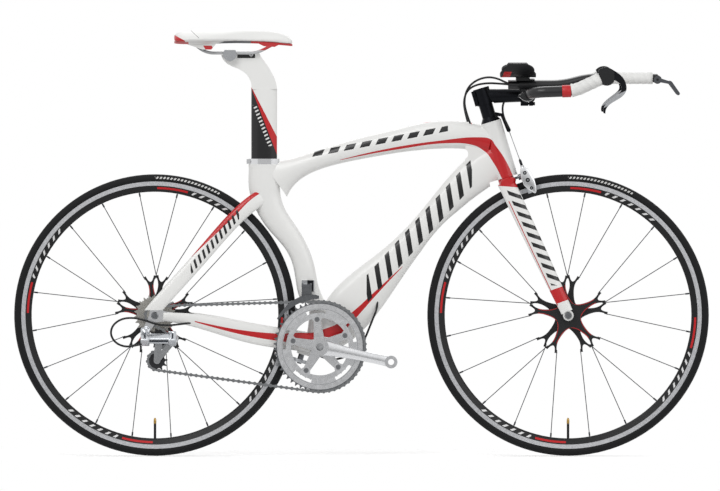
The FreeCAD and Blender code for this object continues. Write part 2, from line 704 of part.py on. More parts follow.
def bottom_bracket():
    """Two bearing cups in the shell, with the sleeve between them."""
    half = BB_SHELL_WIDTH / 2
    bore = SPINDLE_RADIUS + RUN_FIT
    cups = []
    for side in (1, -1):
        face = BOTTOM_BRACKET + Y_AXIS * (side * half)
        rim = pipe(face, face + Y_AXIS * (side * BB_CUP_THICKNESS), BB_SHELL_RADIUS - 3, bore)
        insert = pipe(face - Y_AXIS * (side * 12), face, BB_SHELL_RADIUS - 4, bore)
        cups.append(fuse([rim, insert]))
    sleeve_end = Y_AXIS * (half - 12)
    sleeve = pipe(BOTTOM_BRACKET - sleeve_end, BOTTOM_BRACKET + sleeve_end,
                  SPINDLE_RADIUS + 4, SPINDLE_RADIUS + 2)
    return Part.makeCompound(cups + [sleeve])


def headset_bearings():
    """Two ring bearings in the head tube."""
    rings = [pipe(on_steer_line(low), on_steer_line(low + HEADSET_BEARING_HEIGHT), HEADSET_BEARING_RADIUS,
                  STEERER_RADIUS + RUN_FIT)
             for low in (CROWN_RACE, HEAD_TOP - HEADSET_BEARING_HEIGHT)]
    return Part.makeCompound(rings)


# Fork and front end

BLADE_TOP = (342.0, 25.0, 650.0)
BLADE_SECTIONS = [(0.0, 41.0, 18.0), (0.3, 39.0, 15.0), (0.7, 34.0, 13.0), (1.0, 28.0, 10.0)]


def fork_blade():
    """The left blade, a straight aero loft that splays out to the axle."""
    half = FRONT_DROPOUT_GAP / 2
    top = vec(*BLADE_TOP)
    foot = FRONT_AXLE + vec(-3.0, half + DROPOUT_THICKNESS / 2, 8.0)
    line = foot - top
    wires = [oval(top + line * share, line, X_AXIS, depth / 2, width / 2)
             for share, depth, width in BLADE_SECTIONS]
    tip = rod(FRONT_AXLE + Y_AXIS * half, FRONT_AXLE + Y_AXIS * (half + DROPOUT_THICKNESS), 12.5)
    return fuse([loft(wires), tip])


CROWN_SECTIONS = [(0.0, 19.0, 10.5), (18.0, 20.0, 11.5), (27.0, 18.0, 12.0), (34.0, 12.0, 8.0)]
CROWN_MIDDLE = (347.0, 650.5)


def crown_bridge():
    """The shoulder that joins the two blades above the tyre."""
    x, z = CROWN_MIDDLE
    right = [oval(vec(x, -y, z), Y_AXIS, STEER_AHEAD, depth, height)
             for y, depth, height in CROWN_SECTIONS[:0:-1]]
    left = [oval(vec(x, y, z), Y_AXIS, STEER_AHEAD, depth, height) for y, depth, height in CROWN_SECTIONS]
    return loft(right + left)


def fork():
    """Two aero blades, the crown and the steerer in one moulding."""
    neck_top = CROWN_RACE - SIDE_GAP
    neck = rod(on_steer_line(neck_top - CROWN_NECK), on_steer_line(neck_top), CROWN_RADIUS)
    steerer = rod(on_steer_line(CROWN_RACE - 5), on_steer_line(STEM_TOP - 2), STEERER_RADIUS)
    blade = fork_blade()
    body = fuse([crown_bridge(), blade, mirrored(blade)]).fuse(neck).fuse(steerer)
    steerer_bore = rod(on_steer_line(CROWN_RACE + 6), on_steer_line(STEM_TOP), STEERER_RADIUS - STEERER_WALL)
    tyre_room = rod(FRONT_AXLE - Y_AXIS * 16, FRONT_AXLE + Y_AXIS * 16, TYRE_RADIUS + 4)
    axle_hole = rod(FRONT_AXLE - Y_AXIS * 80, FRONT_AXLE + Y_AXIS * 80, AXLE_END_RADIUS)
    inner, outer = FRONT_DROPOUT_GAP / 2, FRONT_DROPOUT_GAP / 2 + DROPOUT_THICKNESS
    hub_room = rod(FRONT_AXLE - Y_AXIS * inner, FRONT_AXLE + Y_AXIS * inner, HUB_SHELL_RADIUS + FREE_GAP)
    nut_rooms = [rod(FRONT_AXLE + Y_AXIS * side * outer, FRONT_AXLE + Y_AXIS * side * (outer + 20),
                     SKEWER_NUT_RADIUS + FREE_GAP) for side in (-1, 1)]
    over_race = rod(on_steer_line(CROWN_RACE - SIDE_GAP), on_steer_line(CROWN_RACE + 40), CROWN_RADIUS + 30)
    steerer_hole = rod(on_steer_line(CROWN_RACE - 1), on_steer_line(CROWN_RACE + 41), STEERER_RADIUS)
    over_race = over_race.cut(steerer_hole)
    brake_bolt = rod(FRONT_BRAKE - STEER_AHEAD * 60, FRONT_BRAKE, BRAKE_PIN_RADIUS)
    return body.cut([steerer_bore, tyre_room, axle_hole, over_race, brake_bolt, hub_room] + nut_rooms)


def headset_spacers():
    """Top cover, spacers and the front brake's cable hanger on the steerer."""
    cover_top = HEAD_TOP + HEADSET_COVER_HEIGHT
    cover = Part.makeCone(HEAD_TUBE_RADIUS - 1, SPACER_RADIUS, HEADSET_COVER_HEIGHT - SIDE_GAP,
                          on_steer_line(HEAD_TOP + SIDE_GAP), STEER_UP)
    stack = rod(on_steer_line(cover_top), on_steer_line(SPACER_TOP), SPACER_RADIUS)
    start = on_steer_line(cover_top + 3, ahead=SPACER_RADIUS - 3)
    elbow = on_steer_line(HEAD_TOP + 8, ahead=HEAD_TUBE_RADIUS + 5)
    hook = CABLE_HOOK
    beside = HOUSING_RADIUS + SIDE_GAP
    arms = [bar_plate((start.x, start.z), (elbow.x, elbow.z), 5.0, 3.6, beside, beside + 6),
            bar_plate((elbow.x, elbow.z), (hook.x, hook.z), 3.6, 5.0, beside, beside + 6),
            rod(hook - Y_AXIS * 4, hook + Y_AXIS * (beside + 6), 5.0)]
    wire_start, wire_end = brake_wire_ends()
    along = (wire_end - wire_start).normalize()
    wire_hole = rod(wire_start - along * 2, wire_start + along * 20, WIRE_RADIUS + SIDE_GAP)
    bore = rod(on_steer_line(HEAD_TOP - 5), on_steer_line(SPACER_TOP + 5), STEERER_RADIUS)
    return fuse([cover, stack] + arms).cut([bore, wire_hole])


def stem():
    """Steerer clamp, tapered arm, bar clamp with its face plate, and their bolts."""
    low, high = on_steer_line(SPACER_TOP), on_steer_line(STEM_TOP)
    middle = on_steer_line((SPACER_TOP + STEM_TOP) / 2)
    clamp = rod(low, high, STEM_CLAMP_RADIUS)
    line = BAR_CENTRE - middle
    arm = loft([oval(middle, line, Z_AXIS, 17.5, 15.0), oval(middle + line * 0.5, line, Z_AXIS, 16.0, 13.5),
                oval(BAR_CENTRE, line, Z_AXIS, 15.0, 17.0)])
    grip = rod(BAR_CENTRE - Y_AXIS * 22, BAR_CENTRE + Y_AXIS * 22, BAR_CLAMP_RADIUS + 5)
    back = on_steer_line(SPACER_TOP + 2, ahead=-STEM_CLAMP_RADIUS - 5)
    lug = Part.makeBox(12, 22, STEM_CLAMP_HEIGHT - 4, vec(0, -11, 0))
    lug.rotate(vec(0, 0, 0), Y_AXIS, HEAD_ANGLE - 90)
    lug.translate(back)
    ears = [Part.makeBox(29, 12, 10, BAR_CENTRE + vec(-15, y - 6, z - 5))
            for y in (-15, 15) for z in (-STEM_BOLT_RISE, STEM_BOLT_RISE)]
    steerer = rod(low - STEER_UP * 5, high + STEER_UP * 5, STEERER_RADIUS)
    spacer_room = rod(low - STEER_UP * 30, low, SPACER_RADIUS + 4)
    bar = base_bar()
    slot = Part.makeBox(60, 2, 80, vec(-60, -1, -20))
    slot.rotate(vec(0, 0, 0), Y_AXIS, HEAD_ANGLE - 90)
    slot.translate(low)
    joint = Part.makeBox(2, 60, 60, vec(BAR_CENTRE.x + 3, -30, BAR_CENTRE.z - 30))
    bolts = [rod(start, end, radius) for start, end, radius in stem_bolt_rods()]
    body = fuse([clamp, arm, grip, lug] + ears).cut([steerer, spacer_room, bar, slot, joint] + bolts)
    return Part.makeCompound(body.Solids + stem_bolts())


def stem_bolt_rods():
    """Shanks and heads of the stem's bolts: two at the steerer, four at the bar."""
    rods = []
    for height in (10, STEM_CLAMP_HEIGHT - 10):
        place = on_steer_line(SPACER_TOP + height, ahead=-STEM_CLAMP_RADIUS - 1)
        rods.append((place - Y_AXIS * 14, place + Y_AXIS * 9, 2.5))
        rods.append((place - Y_AXIS * 14, place - Y_AXIS * 11, 4.2))
    for y in (-15, 15):
        for z in (-STEM_BOLT_RISE, STEM_BOLT_RISE):
            place = BAR_CENTRE + vec(0, y, z)
            rods.append((place - X_AXIS * 14, place + X_AXIS * 18, 2.5))
            rods.append((place + X_AXIS * 14, place + X_AXIS * 19, 4.0))
    return rods


def stem_bolts():
    rods = [rod(start, end, radius) for start, end, radius in stem_bolt_rods()]
    return [fuse(rods[index:index + 2]) for index in range(0, len(rods), 2)]


BAR_ARM_POINTS = [vec(BAR_CENTRE.x + 2, BAR_HALF_WIDTH - 62, BAR_CENTRE.z + 2),
                  vec(BAR_CENTRE.x + 14, BAR_HALF_WIDTH, BAR_CENTRE.z + 9),
                  vec(502.0, BAR_HALF_WIDTH, 867.5), vec(564.0, BAR_HALF_WIDTH, 896.0)]
TAPE_START = 485.0        # where the white tape begins, measured forward


def bar_sections():
    """Left half of the flat cross bar: (cross position, half depth, half height)."""
    return [(0.0, BAR_CLAMP_RADIUS, BAR_CLAMP_RADIUS), (34.0, BAR_CLAMP_RADIUS, BAR_CLAMP_RADIUS),
            (80.0, 21.0, 9.0), (BAR_HALF_WIDTH - 70, 20.0, 10.0), (BAR_HALF_WIDTH - 34, 17.0, 11.0)]


def base_bar():
    """The bullhorn bar: round at the stem, flat and wide, then round arms that rise forward."""
    left = [oval(BAR_CENTRE + Y_AXIS * y, Y_AXIS, X_AXIS, depth, height)
            for y, depth, height in bar_sections()]
    right = [mirrored(wire) for wire in left[:0:-1]]
    arm = swept_tube(BAR_ARM_POINTS, BAR_ARM_RADIUS, "base bar arm")
    return fuse([loft(right + left), arm, mirrored(arm)])


def taped_arm():
    """The left arm's taped length, tape and bar together."""
    whole = swept_tube(BAR_ARM_POINTS, BAR_ARM_RADIUS + TAPE_THICKNESS, "taped arm")
    bare = Part.makeBox(300, 200, 200, vec(TAPE_START - 300, BAR_HALF_WIDTH - 100, BAR_HEIGHT - 100))
    return whole.cut(bare)


def bar_tape():
    """White tape on the base bar's arms and on the extensions."""
    arm_tape = taped_arm().cut(base_bar())
    start, end = EXTENSION_POINTS[-2] + X_AXIS * 45, EXTENSION_POINTS[-1]
    long_tape = pipe(start, end, EXTENSION_RADIUS + TAPE_THICKNESS, EXTENSION_RADIUS)
    pieces = [max(arm_tape.Solids, key=lambda solid: solid.Volume), long_tape]
    return Part.makeCompound([piece for part in pieces for piece in (part, mirrored(part))])


EXTENSION_LOW = 880.0
EXTENSION_HIGH = 896.0
EXTENSION_LINE = [(348.0, EXTENSION_LOW), (478.0, EXTENSION_LOW),
                  (538.0, EXTENSION_HIGH), (690.0, EXTENSION_HIGH)]
EXTENSION_POINTS = [vec(x, EXTENSION_SPREAD, z) for x, z in EXTENSION_LINE]


def extensions():
    """Two S-bent aero extension tubes."""
    outer = swept_tube(EXTENSION_POINTS, EXTENSION_RADIUS, "extension")
    inner = swept_tube(EXTENSION_POINTS, EXTENSION_RADIUS - EXTENSION_WALL, "extension bore")
    return both_sides(outer.cut(inner))


CUP_BOTTOM = EXTENSION_LOW + EXTENSION_RADIUS + EXTENSION_CLAMP_WALL + 4
CUP_MIDDLE = vec(371.0, PAD_SPREAD, CUP_BOTTOM + PAD_CUP_RADIUS)
CUP_LENGTH = 84.0
CUP_OPENING = 146.0       # degrees of the trough's arc


def trough(radius, thickness, x_low, x_high, opening):
    """An arched trough along X: an arc of a tube wall, open upwards."""
    half = math.radians(opening) / 2

    def at(r, angle):
        return vec(x_low, CUP_MIDDLE.y + r * math.sin(angle), CUP_MIDDLE.z - r * math.cos(angle))

    inner_radius = radius - thickness
    edges = [Part.Arc(at(radius, -half), at(radius, 0), at(radius, half)).toShape(),
             Part.LineSegment(at(radius, half), at(inner_radius, half)).toShape(),
             Part.Arc(at(inner_radius, half), at(inner_radius, 0), at(inner_radius, -half)).toShape(),
             Part.LineSegment(at(inner_radius, -half), at(radius, -half)).toShape()]
    return Part.Face(Part.Wire(edges)).extrude(vec(x_high - x_low, 0, 0))


def arm_rest_brackets():
    """Extension clamps on the base bar, and the arm cups that stand on them."""
    half = CUP_LENGTH / 2
    cup = trough(PAD_CUP_RADIUS, PAD_CUP_WALL, CUP_MIDDLE.x - half, CUP_MIDDLE.x + half, CUP_OPENING)
    corner = 22.0
    for x, turn in ((CUP_MIDDLE.x - half, 1), (CUP_MIDDLE.x + half, -1)):
        drop = PAD_CUP_RADIUS * math.cos(math.radians(CUP_OPENING / 2)) - PAD_CUP_WALL
        top = CUP_MIDDLE.z - drop
        wedge = plate([(x, top), (x + turn * corner, top), (x, top - 1.2 * corner)],
                      PAD_SPREAD - 60, PAD_SPREAD + 60)
        cup = cup.cut(wedge)
    e = EXTENSION_SPREAD
    clamp_radius = EXTENSION_RADIUS + EXTENSION_CLAMP_WALL
    clamp_at = vec(BAR_CENTRE.x, e, EXTENSION_LOW)
    clamp = rod(clamp_at - X_AXIS * 18, clamp_at + X_AXIS * 18, clamp_radius)
    foot = Part.makeBox(30, 22, 24, vec(BAR_CENTRE.x - 15, e - 11, BAR_CENTRE.z))
    riser = Part.makeBox(32, 30, 12, vec(BAR_CENTRE.x - 26, e - 5, EXTENSION_LOW + clamp_radius - 4))
    hole = rod(clamp_at - X_AXIS * 40, clamp_at + X_AXIS * 40, EXTENSION_RADIUS)
    hollow = rod(CUP_MIDDLE - X_AXIS * 60, CUP_MIDDLE + X_AXIS * 60, PAD_CUP_RADIUS - PAD_CUP_WALL)
    side = fuse([cup, clamp, foot, riser]).cut([hole, hollow, base_bar()])
    return both_sides(max(side.Solids, key=lambda solid: solid.Volume))


def arm_pads():
    """Crowned foam pads in the arm cups."""
    bed = PAD_CUP_RADIUS - PAD_CUP_WALL - SIDE_GAP
    half = CUP_LENGTH / 2 - 3
    shares = [(-1.0, 0.45, 0.80), (-0.85, 0.85, 0.95), (0.0, 1.0, 1.0), (0.85, 0.85, 0.95), (1.0, 0.45, 0.80)]
    wires = []
    for share, thick, spread in shares:
        x = CUP_MIDDLE.x + share * half
        top = bed - PAD_THICKNESS * thick
        reach = math.radians(CUP_OPENING / 2 - 8) * spread

        def at(r, angle, x=x):
            return vec(x, CUP_MIDDLE.y + r * math.sin(angle), CUP_MIDDLE.z - r * math.cos(angle))

        edges = [Part.Arc(at(bed, -reach), at(bed, 0), at(bed, reach)).toShape(),
                 Part.LineSegment(at(bed, reach), at(top, reach * 0.93)).toShape(),
                 Part.Arc(at(top, reach * 0.93), at(top, 0), at(top, -reach * 0.93)).toShape(),
                 Part.LineSegment(at(top, -reach * 0.93), at(bed, -reach)).toShape()]
        wires.append(Part.Wire(edges))
    return both_sides(loft(wires))


LEVER_PIVOT = vec(585.0, BAR_HALF_WIDTH, 902.0)
BRACKET_UPPER = [(558.0, 914.0), (572.0, 922.5), (587.0, 921.0), (597.0, 910.0)]
BRACKET_LOWER = [(570.0, 882.0), (577.0, 880.0), (588.0, 882.0), (597.0, 893.0)]
LEVER_OUTER = [(589.0, 919.0), (604.0, 911.0), (618.0, 898.0), (625.0, 882.0), (625.0, 868.0), (617.0, 856.0),
               (594.0, 841.0), (580.0, 829.0), (576.0, 814.0)]
LEVER_INNER = [(589.0, 893.0), (603.0, 890.0), (613.0, 879.0), (613.5, 869.0), (606.0, 860.0), (597.0, 853.0),
               (582.0, 841.0), (572.0, 828.0), (571.5, 815.0)]
SHIFT_PIVOT = vec(701.0, EXTENSION_SPREAD, 893.0)


def control_bodies():
    """Brake brackets in the ends of the base bar and shifter bodies in the extensions."""
    y = BAR_HALF_WIDTH
    half = BRACKET_WIDTH / 2
    hood = curved_plate(BRACKET_UPPER, BRACKET_LOWER, y - half, y + half)
    slot = Part.makeBox(60, LEVER_THICKNESS + 2 * SIDE_GAP, 70,
                        vec(574, y - LEVER_THICKNESS / 2 - SIDE_GAP, 868))
    pin = rod(LEVER_PIVOT - Y_AXIS * half, LEVER_PIVOT + Y_AXIS * half, LEVER_PIN_RADIUS)
    hood = hood.cut([slot, taped_arm()])
    bracket = fuse([max(hood.Solids, key=lambda solid: solid.Volume), pin])
    plug = rod(EXTENSION_POINTS[-1], EXTENSION_POINTS[-1] + X_AXIS * 12, SHIFT_BOSS_RADIUS - 0.5)
    stem_plug = rod(EXTENSION_POINTS[-1] - X_AXIS * 25, EXTENSION_POINTS[-1] + X_AXIS * 2,
                    EXTENSION_RADIUS - EXTENSION_WALL)
    half_body = SHIFT_BODY_WIDTH / 2
    boss = rod(SHIFT_PIVOT - Y_AXIS * half_body, SHIFT_PIVOT + Y_AXIS * half_body, SHIFT_BOSS_RADIUS)
    axle_end = half_body + SHIFT_LEVER_THICKNESS + SIDE_GAP
    axle = rod(SHIFT_PIVOT, SHIFT_PIVOT + Y_AXIS * axle_end, LEVER_PIN_RADIUS)
    shifter = fuse([plug, stem_plug, boss, axle])
    return Part.makeCompound([bracket, mirrored(bracket), shifter, mirrored(shifter)])


def brake_lever():
    """The left brake lever, a curved blade on its pin."""
    y = BAR_HALF_WIDTH
    half = LEVER_THICKNESS / 2
    blade = curved_plate(LEVER_OUTER, LEVER_INNER, y - half, y + half)
    hub = rod(LEVER_PIVOT - Y_AXIS * half, LEVER_PIVOT + Y_AXIS * half, 9.0)
    hole = rod(LEVER_PIVOT - Y_AXIS * 30, LEVER_PIVOT + Y_AXIS * 30, LEVER_PIN_RADIUS + RUN_FIT)
    return fuse([blade, hub]).cut(hole)


def shift_lever():
    """The left bar-end shift lever on the outer side of its body."""
    low = SHIFT_PIVOT.y + SHIFT_BODY_WIDTH / 2 + SIDE_GAP
    high = low + SHIFT_LEVER_THICKNESS
    x, z = SHIFT_PIVOT.x, SHIFT_PIVOT.z
    disc = rod(vec(x, low, z), vec(x, high, z), SHIFT_BOSS_RADIUS - 1)
    neck = bar_plate((x, z), (x + 31, z - 8), 5.0, 3.0, low, high)
    paddle = bar_plate((x + 31, z - 8), (x + 49, z - 33), 4.5, 4.0, low, high)
    hole = rod(vec(x, low - 1, z), vec(x, high + 1, z), LEVER_PIN_RADIUS + RUN_FIT)
    return fuse([disc, neck, paddle]).cut(hole)


# Seat

def seatpost():
    """Aero post with a head that sweeps back to the saddle clamp."""
    blade = loft([post_section(POST_FOOT, 0), post_section(POST_SHOULDER, 0)])
    front = POST_X + POST_CHORD / 2
    rear = POST_X - POST_CHORD / 2
    rear_edge = [(rear, POST_SHOULDER - 2), (rear - 5, 896.0), (rear - 17, 910.0), (rear - 36, 920.0),
                 (rear - 55, 929.0), (rear - 67, 941.0), (rear - 71, 951.0)]
    front_edge = [(front, POST_SHOULDER - 2), (front - 4, 891.0), (front - 13, 910.0), (front - 25, 929.0),
                  (front - 35, 943.0), (front - 42, 956.0)]
    half = POST_WIDTH / 2 - 1.5
    head = curved_plate(rear_edge, front_edge, -half, half)
    barrel_room = rod(vec(CLAMP_X, -40, CLAMP_HEIGHT), vec(CLAMP_X, 40, CLAMP_HEIGHT), CLAMP_RADIUS)
    rail_room = Part.makeBox(200, 60, 40, vec(CLAMP_X - 100, -30, CLAMP_HEIGHT + 8))
    return fuse([blade, head]).cut([barrel_room, rail_room])


def saddle_clamp():
    """The round barrel in the post's head that grips both rails."""
    half = RAIL_SPREAD + 8
    barrel = rod(vec(CLAMP_X, -half, CLAMP_HEIGHT), vec(CLAMP_X, half, CLAMP_HEIGHT), CLAMP_RADIUS)
    bolt = rod(vec(CLAMP_X, -half - 4, CLAMP_HEIGHT - 5), vec(CLAMP_X, half + 4, CLAMP_HEIGHT - 5), 4.5)
    flat = Part.makeBox(60, 100, 40, vec(CLAMP_X - 30, -50, RAIL_HEIGHT + RAIL_RADIUS + 4))
    groove_radius = RAIL_RADIUS + RUN_FIT
    grooves = [rod(vec(CLAMP_X - 40, y, RAIL_HEIGHT), vec(CLAMP_X + 40, y, RAIL_HEIGHT), groove_radius)
               for y in (-RAIL_SPREAD, RAIL_SPREAD)]
    return fuse([barrel, bolt]).cut([flat] + grooves)


SADDLE_BASE_THICKNESS = 5.0
SADDLE_STATIONS = [(-444.0, 36.0, 984.0, 998.0), (-428.0, 60.0, 982.0, 1005.0),
                   (-392.0, 68.0, 982.0, 1008.0), (-350.0, 62.0, 983.0, 1007.5),
                   (-310.0, 43.0, 984.0, 1007.0), (-260.0, 25.0, 983.5, 1006.5),
                   (-205.0, 19.0, 980.5, 1004.0), (-176.0, 17.0, 978.0, 996.0),
                   (-164.0, 11.0, 977.0, 986.0)]


def saddle_section(x, half, low, high):
    """One crowned section of the saddle: flat below, drawn-in sides, arched on top."""
    height = high - low
    side = 0.35 * height
    base = 0.86 * half
    left = vec(x, -base, low)
    right = vec(x, base, low)
    right_up = vec(x, half, low + side)
    left_up = vec(x, -half, low + side)
    edges = [Part.LineSegment(left, right).toShape(),
             Part.Arc(right, vec(x, half * 0.97, low + side * 0.45), right_up).toShape(),
             Part.Arc(right_up, vec(x, 0, high), left_up).toShape(),
             Part.Arc(left_up, vec(x, -half * 0.97, low + side * 0.45), left).toShape()]
    return Part.Wire(edges)


def saddle_cover():
    """Padded cover of the saddle."""
    return loft([saddle_section(*station) for station in SADDLE_STATIONS])


RAIL_POINTS = [vec(-398.0, 34.0, 977.5), vec(-368.0, RAIL_SPREAD, RAIL_HEIGHT),
               vec(-248.0, RAIL_SPREAD, RAIL_HEIGHT), vec(-212.0, 12.0, 974.5)]


def saddle_base():
    """Moulded base under the cover, its tail bumper, and the two rails."""
    sections = []
    for x, half, low, high in SADDLE_STATIONS:
        sections.append(Part.makePolygon([vec(x, -0.84 * half, low), vec(x, 0.84 * half, low),
                                          vec(x, 0.7 * half, low - SADDLE_BASE_THICKNESS),
                                          vec(x, -0.7 * half, low - SADDLE_BASE_THICKNESS),
                                          vec(x, -0.84 * half, low)]))
    shell = Part.makeLoft(sections, True, False)
    bumper = plate([(-425.0, 981.0), (-397.0, 971.0), (-378.0, 964.0), (-356.0, 964.0), (-342.0, 981.0)],
                   -44, 44)
    nose = plate([(-250.0, 981.0), (-232.0, 972.0), (-206.0, 970.0), (-190.0, 978.0)], -16, 16)
    rail = swept_tube(RAIL_POINTS, RAIL_RADIUS, "saddle rail")
    cover = saddle_cover()
    body = fuse([shell, bumper.cut(cover), nose.cut(cover), rail, mirrored(rail)])
    return body.cut(cover)


# Wheels

def tyre_and_tube(centre):
    """Clincher tyre with its inner tube, whose valve points up from the ground."""
    middle = TYRE_RADIUS - TYRE_SECTION / 2
    channel = RIM_WIDTH / 2 - RIM_WALL
    bead_low = RIM_RADIUS - 7.5
    lip = RIM_RADIUS + 0.5
    outer = TYRE_SECTION / 2
    inner = outer - TYRE_WALL
    bead_outer = channel - RUN_FIT
    bead_inner = bead_outer - 2.0
    lip_y = math.sqrt(outer ** 2 - (middle - lip) ** 2)
    inner_low = middle - math.sqrt(inner ** 2 - bead_inner ** 2)

    def at(radius, y):
        return vec(radius, y, 0)

    edges = [Part.Arc(at(lip, lip_y), at(TYRE_RADIUS, 0), at(lip, -lip_y)).toShape()]
    corners = [at(lip, -lip_y), at(lip, -bead_outer), at(bead_low, -bead_outer), at(bead_low, -bead_inner),
               at(inner_low, -bead_inner)]
    edges += [Part.LineSegment(a, b).toShape() for a, b in zip(corners, corners[1:])]
    inside = Part.Arc(at(inner_low, -bead_inner), at(middle + inner, 0), at(inner_low, bead_inner))
    edges.append(inside.toShape())
    corners = [at(inner_low, bead_inner), at(bead_low, bead_inner), at(bead_low, bead_outer),
               at(lip, bead_outer), at(lip, lip_y)]
    edges += [Part.LineSegment(a, b).toShape() for a, b in zip(corners, corners[1:])]
    tyre = Part.Face(Part.Wire(edges)).revolve(vec(0, 0, 0), Y_AXIS, 360)
    tube_radius = inner - SIDE_GAP
    skin = Part.makeTorus(middle, tube_radius, vec(0, 0, 0), Y_AXIS)
    air = Part.makeTorus(middle, tube_radius - TUBE_WALL, vec(0, 0, 0), Y_AXIS)
    valve_tip = RIM_RADIUS - RIM_DEPTH - VALVE_REACH
    valve = rod(vec(0, 0, -valve_tip), vec(0, 0, -(middle - tube_radius + 1)), VALVE_RADIUS)
    tube = fuse([skin, valve]).cut(air)
    tyre.translate(centre)
    tube.translate(centre)
    return Part.makeCompound([tyre, tube])


def rim(centre, spokes):
    """Hollow aero rim with brake tracks, drilled for its spokes and valve."""
    edge = RIM_WIDTH / 2
    channel = edge - RIM_WALL
    inner = RIM_RADIUS - RIM_DEPTH
    track_low = RIM_RADIUS - BRAKE_TRACK
    bed = track_low - 0.5
    outside = [(RIM_RADIUS, edge), (track_low, edge), (inner + 3, 6.2), (inner, 4.0)]
    trench = [(bed, 5.5), (bed + 2, channel), (RIM_RADIUS, channel)]
    profile = outside + [(r, -y) for r, y in reversed(outside)]
    profile += [(r, -y) for r, y in reversed(trench)] + trench
    cavity = [(bed - RIM_WALL, channel), (inner + 4, 6.2 - RIM_WALL), (inner + RIM_WALL, 3.0)]
    cavity += [(r, -y) for r, y in reversed(cavity)]
    body = lathe(profile, centre).cut(lathe(cavity, centre))
    valve_hole = rod(centre, centre - Z_AXIS * RIM_RADIUS, VALVE_RADIUS)
    return body.cut([valve_hole] + spokes)


def star_flange(centre, y, first_angle):
    """One flange plate: five forked arms whose sides meet in round hollows."""
    low = y - STAR_THICKNESS / 2

    def at(angle, ahead, aside):
        x = ahead * math.cos(angle) - aside * math.sin(angle)
        z = ahead * math.sin(angle) + aside * math.cos(angle)
        return centre + vec(x, low, z)

    spread, lean = math.radians(STAR_TIP_SPREAD), math.radians(STAR_TIP_LEAN)
    tip = (STAR_TIP_RADIUS * math.cos(spread), STAR_TIP_RADIUS * math.sin(spread))
    half_end = (STAR_TIP_WIDTH / 2 * math.sin(lean), STAR_TIP_WIDTH / 2 * math.cos(lean))
    outer = (tip[0] - half_end[0], tip[1] + half_end[1])
    inner = (tip[0] + half_end[0], tip[1] - half_end[1])
    side = [outer, (STAR_NECK_RADIUS, STAR_NECK_WIDTH / 2), (STAR_ARM_RADIUS, STAR_ARM_WIDTH / 2)]
    step = 2 * math.pi / STAR_ARMS
    edges = []
    for angle in ring_positions(STAR_ARMS, first_angle):
        left, right = at(angle, *inner), at(angle, inner[0], -inner[1])
        edges.append(Part.LineSegment(at(angle, outer[0], -outer[1]), right).toShape())
        edges.append(smooth_edge([right, at(angle, STAR_CROTCH_RADIUS, 0), left]))
        edges.append(Part.LineSegment(left, at(angle, *outer)).toShape())
        hollow = [at(angle, *point) for point in side]
        hollow.append(at(angle + step / 2, STAR_HOLLOW_RADIUS, 0))
        hollow += [at(angle + step, ahead, -aside) for ahead, aside in reversed(side)]
        edges.append(smooth_edge(hollow))
    return Part.Face(Part.Wire(edges)).extrude(Y_AXIS * STAR_THICKNESS)


def spoke_lines(centre, offset, first_angle):
    """Start and end points of one side's ten spokes, from star tip to rim."""
    lines = []
    rim_step = 360.0 / (4 * STAR_ARMS)
    for angle in ring_positions(STAR_ARMS, first_angle):
        for sign in (-1, 1):
            tip = angle + sign * math.radians(STAR_TIP_SPREAD)
            far = angle + sign * math.radians(rim_step)
            start_radius = STAR_TIP_RADIUS - STAR_TIP_WIDTH
            end_radius = RIM_RADIUS - RIM_DEPTH + 6
            start = vec(math.cos(tip) * start_radius, offset, math.sin(tip) * start_radius)
            end = vec(math.cos(far) * end_radius, math.copysign(1.5, offset), math.sin(far) * end_radius)
            lines.append((centre + start, centre + end))
    return lines


def wheel_spokes(centre, sides):
    """Every spoke with its nipple, as separate solids."""
    spokes = []
    for offset, first_angle in sides:
        for start, end in spoke_lines(centre, offset, first_angle):
            back = (start - end).normalize()
            foot = end + back * 6
            nipple = rod(foot + back * 1.0, foot + back * NIPPLE_LENGTH, NIPPLE_RADIUS)
            spokes.append(fuse([rod(start, end, SPOKE_RADIUS), nipple]))
    return spokes


def hub(centre, sides, low, high, spokes):
    """Hub shell with a star flange at each side, bored for the axle."""
    shell = rod(centre + Y_AXIS * low, centre + Y_AXIS * high, HUB_SHELL_RADIUS)
    stars = [star_flange(centre, offset, first_angle) for offset, first_angle in sides]
    bore = rod(centre - Y_AXIS * 100, centre + Y_AXIS * 100, AXLE_RADIUS + RUN_FIT)
    return fuse([shell] + stars).cut([bore] + spokes)


def axle(centre, gap, lever_turn):
    """Axle, skewer nut on the right and the cam barrel of the quick release on the left."""
    half = gap / 2
    outer = half + DROPOUT_THICKNESS
    body = rod(centre - Y_AXIS * half, centre + Y_AXIS * half, AXLE_RADIUS)
    skewer = rod(centre - Y_AXIS * (outer + 2), centre + Y_AXIS * (outer + 2), AXLE_END_RADIUS)
    nut = Part.makeCone(SKEWER_NUT_RADIUS, SKEWER_NUT_RADIUS - 2.5, SKEWER_NUT_LENGTH,
                        centre - Y_AXIS * outer, vec(0, -1, 0))
    barrel = rod(centre + Y_AXIS * outer, centre + Y_AXIS * (outer + CAM_PIN_OFFSET + 5), SKEWER_NUT_RADIUS)
    across = lever_direction(lever_turn).cross(Y_AXIS)
    pin_at = centre + Y_AXIS * (outer + CAM_PIN_OFFSET)
    slot = Part.makeBox(40, 40, 8.6, vec(-20, -6, -4.3))
    slot.rotate(vec(0, 0, 0), Y_AXIS, -lever_turn)
    slot.translate(pin_at)
    pin = rod(pin_at - across * 7, pin_at + across * 7, CAM_PIN_RADIUS)
    return fuse([body, skewer, nut, barrel.cut(slot), pin])


def lever_direction(turn):
    return vec(math.cos(math.radians(turn)), 0, math.sin(math.radians(turn)))


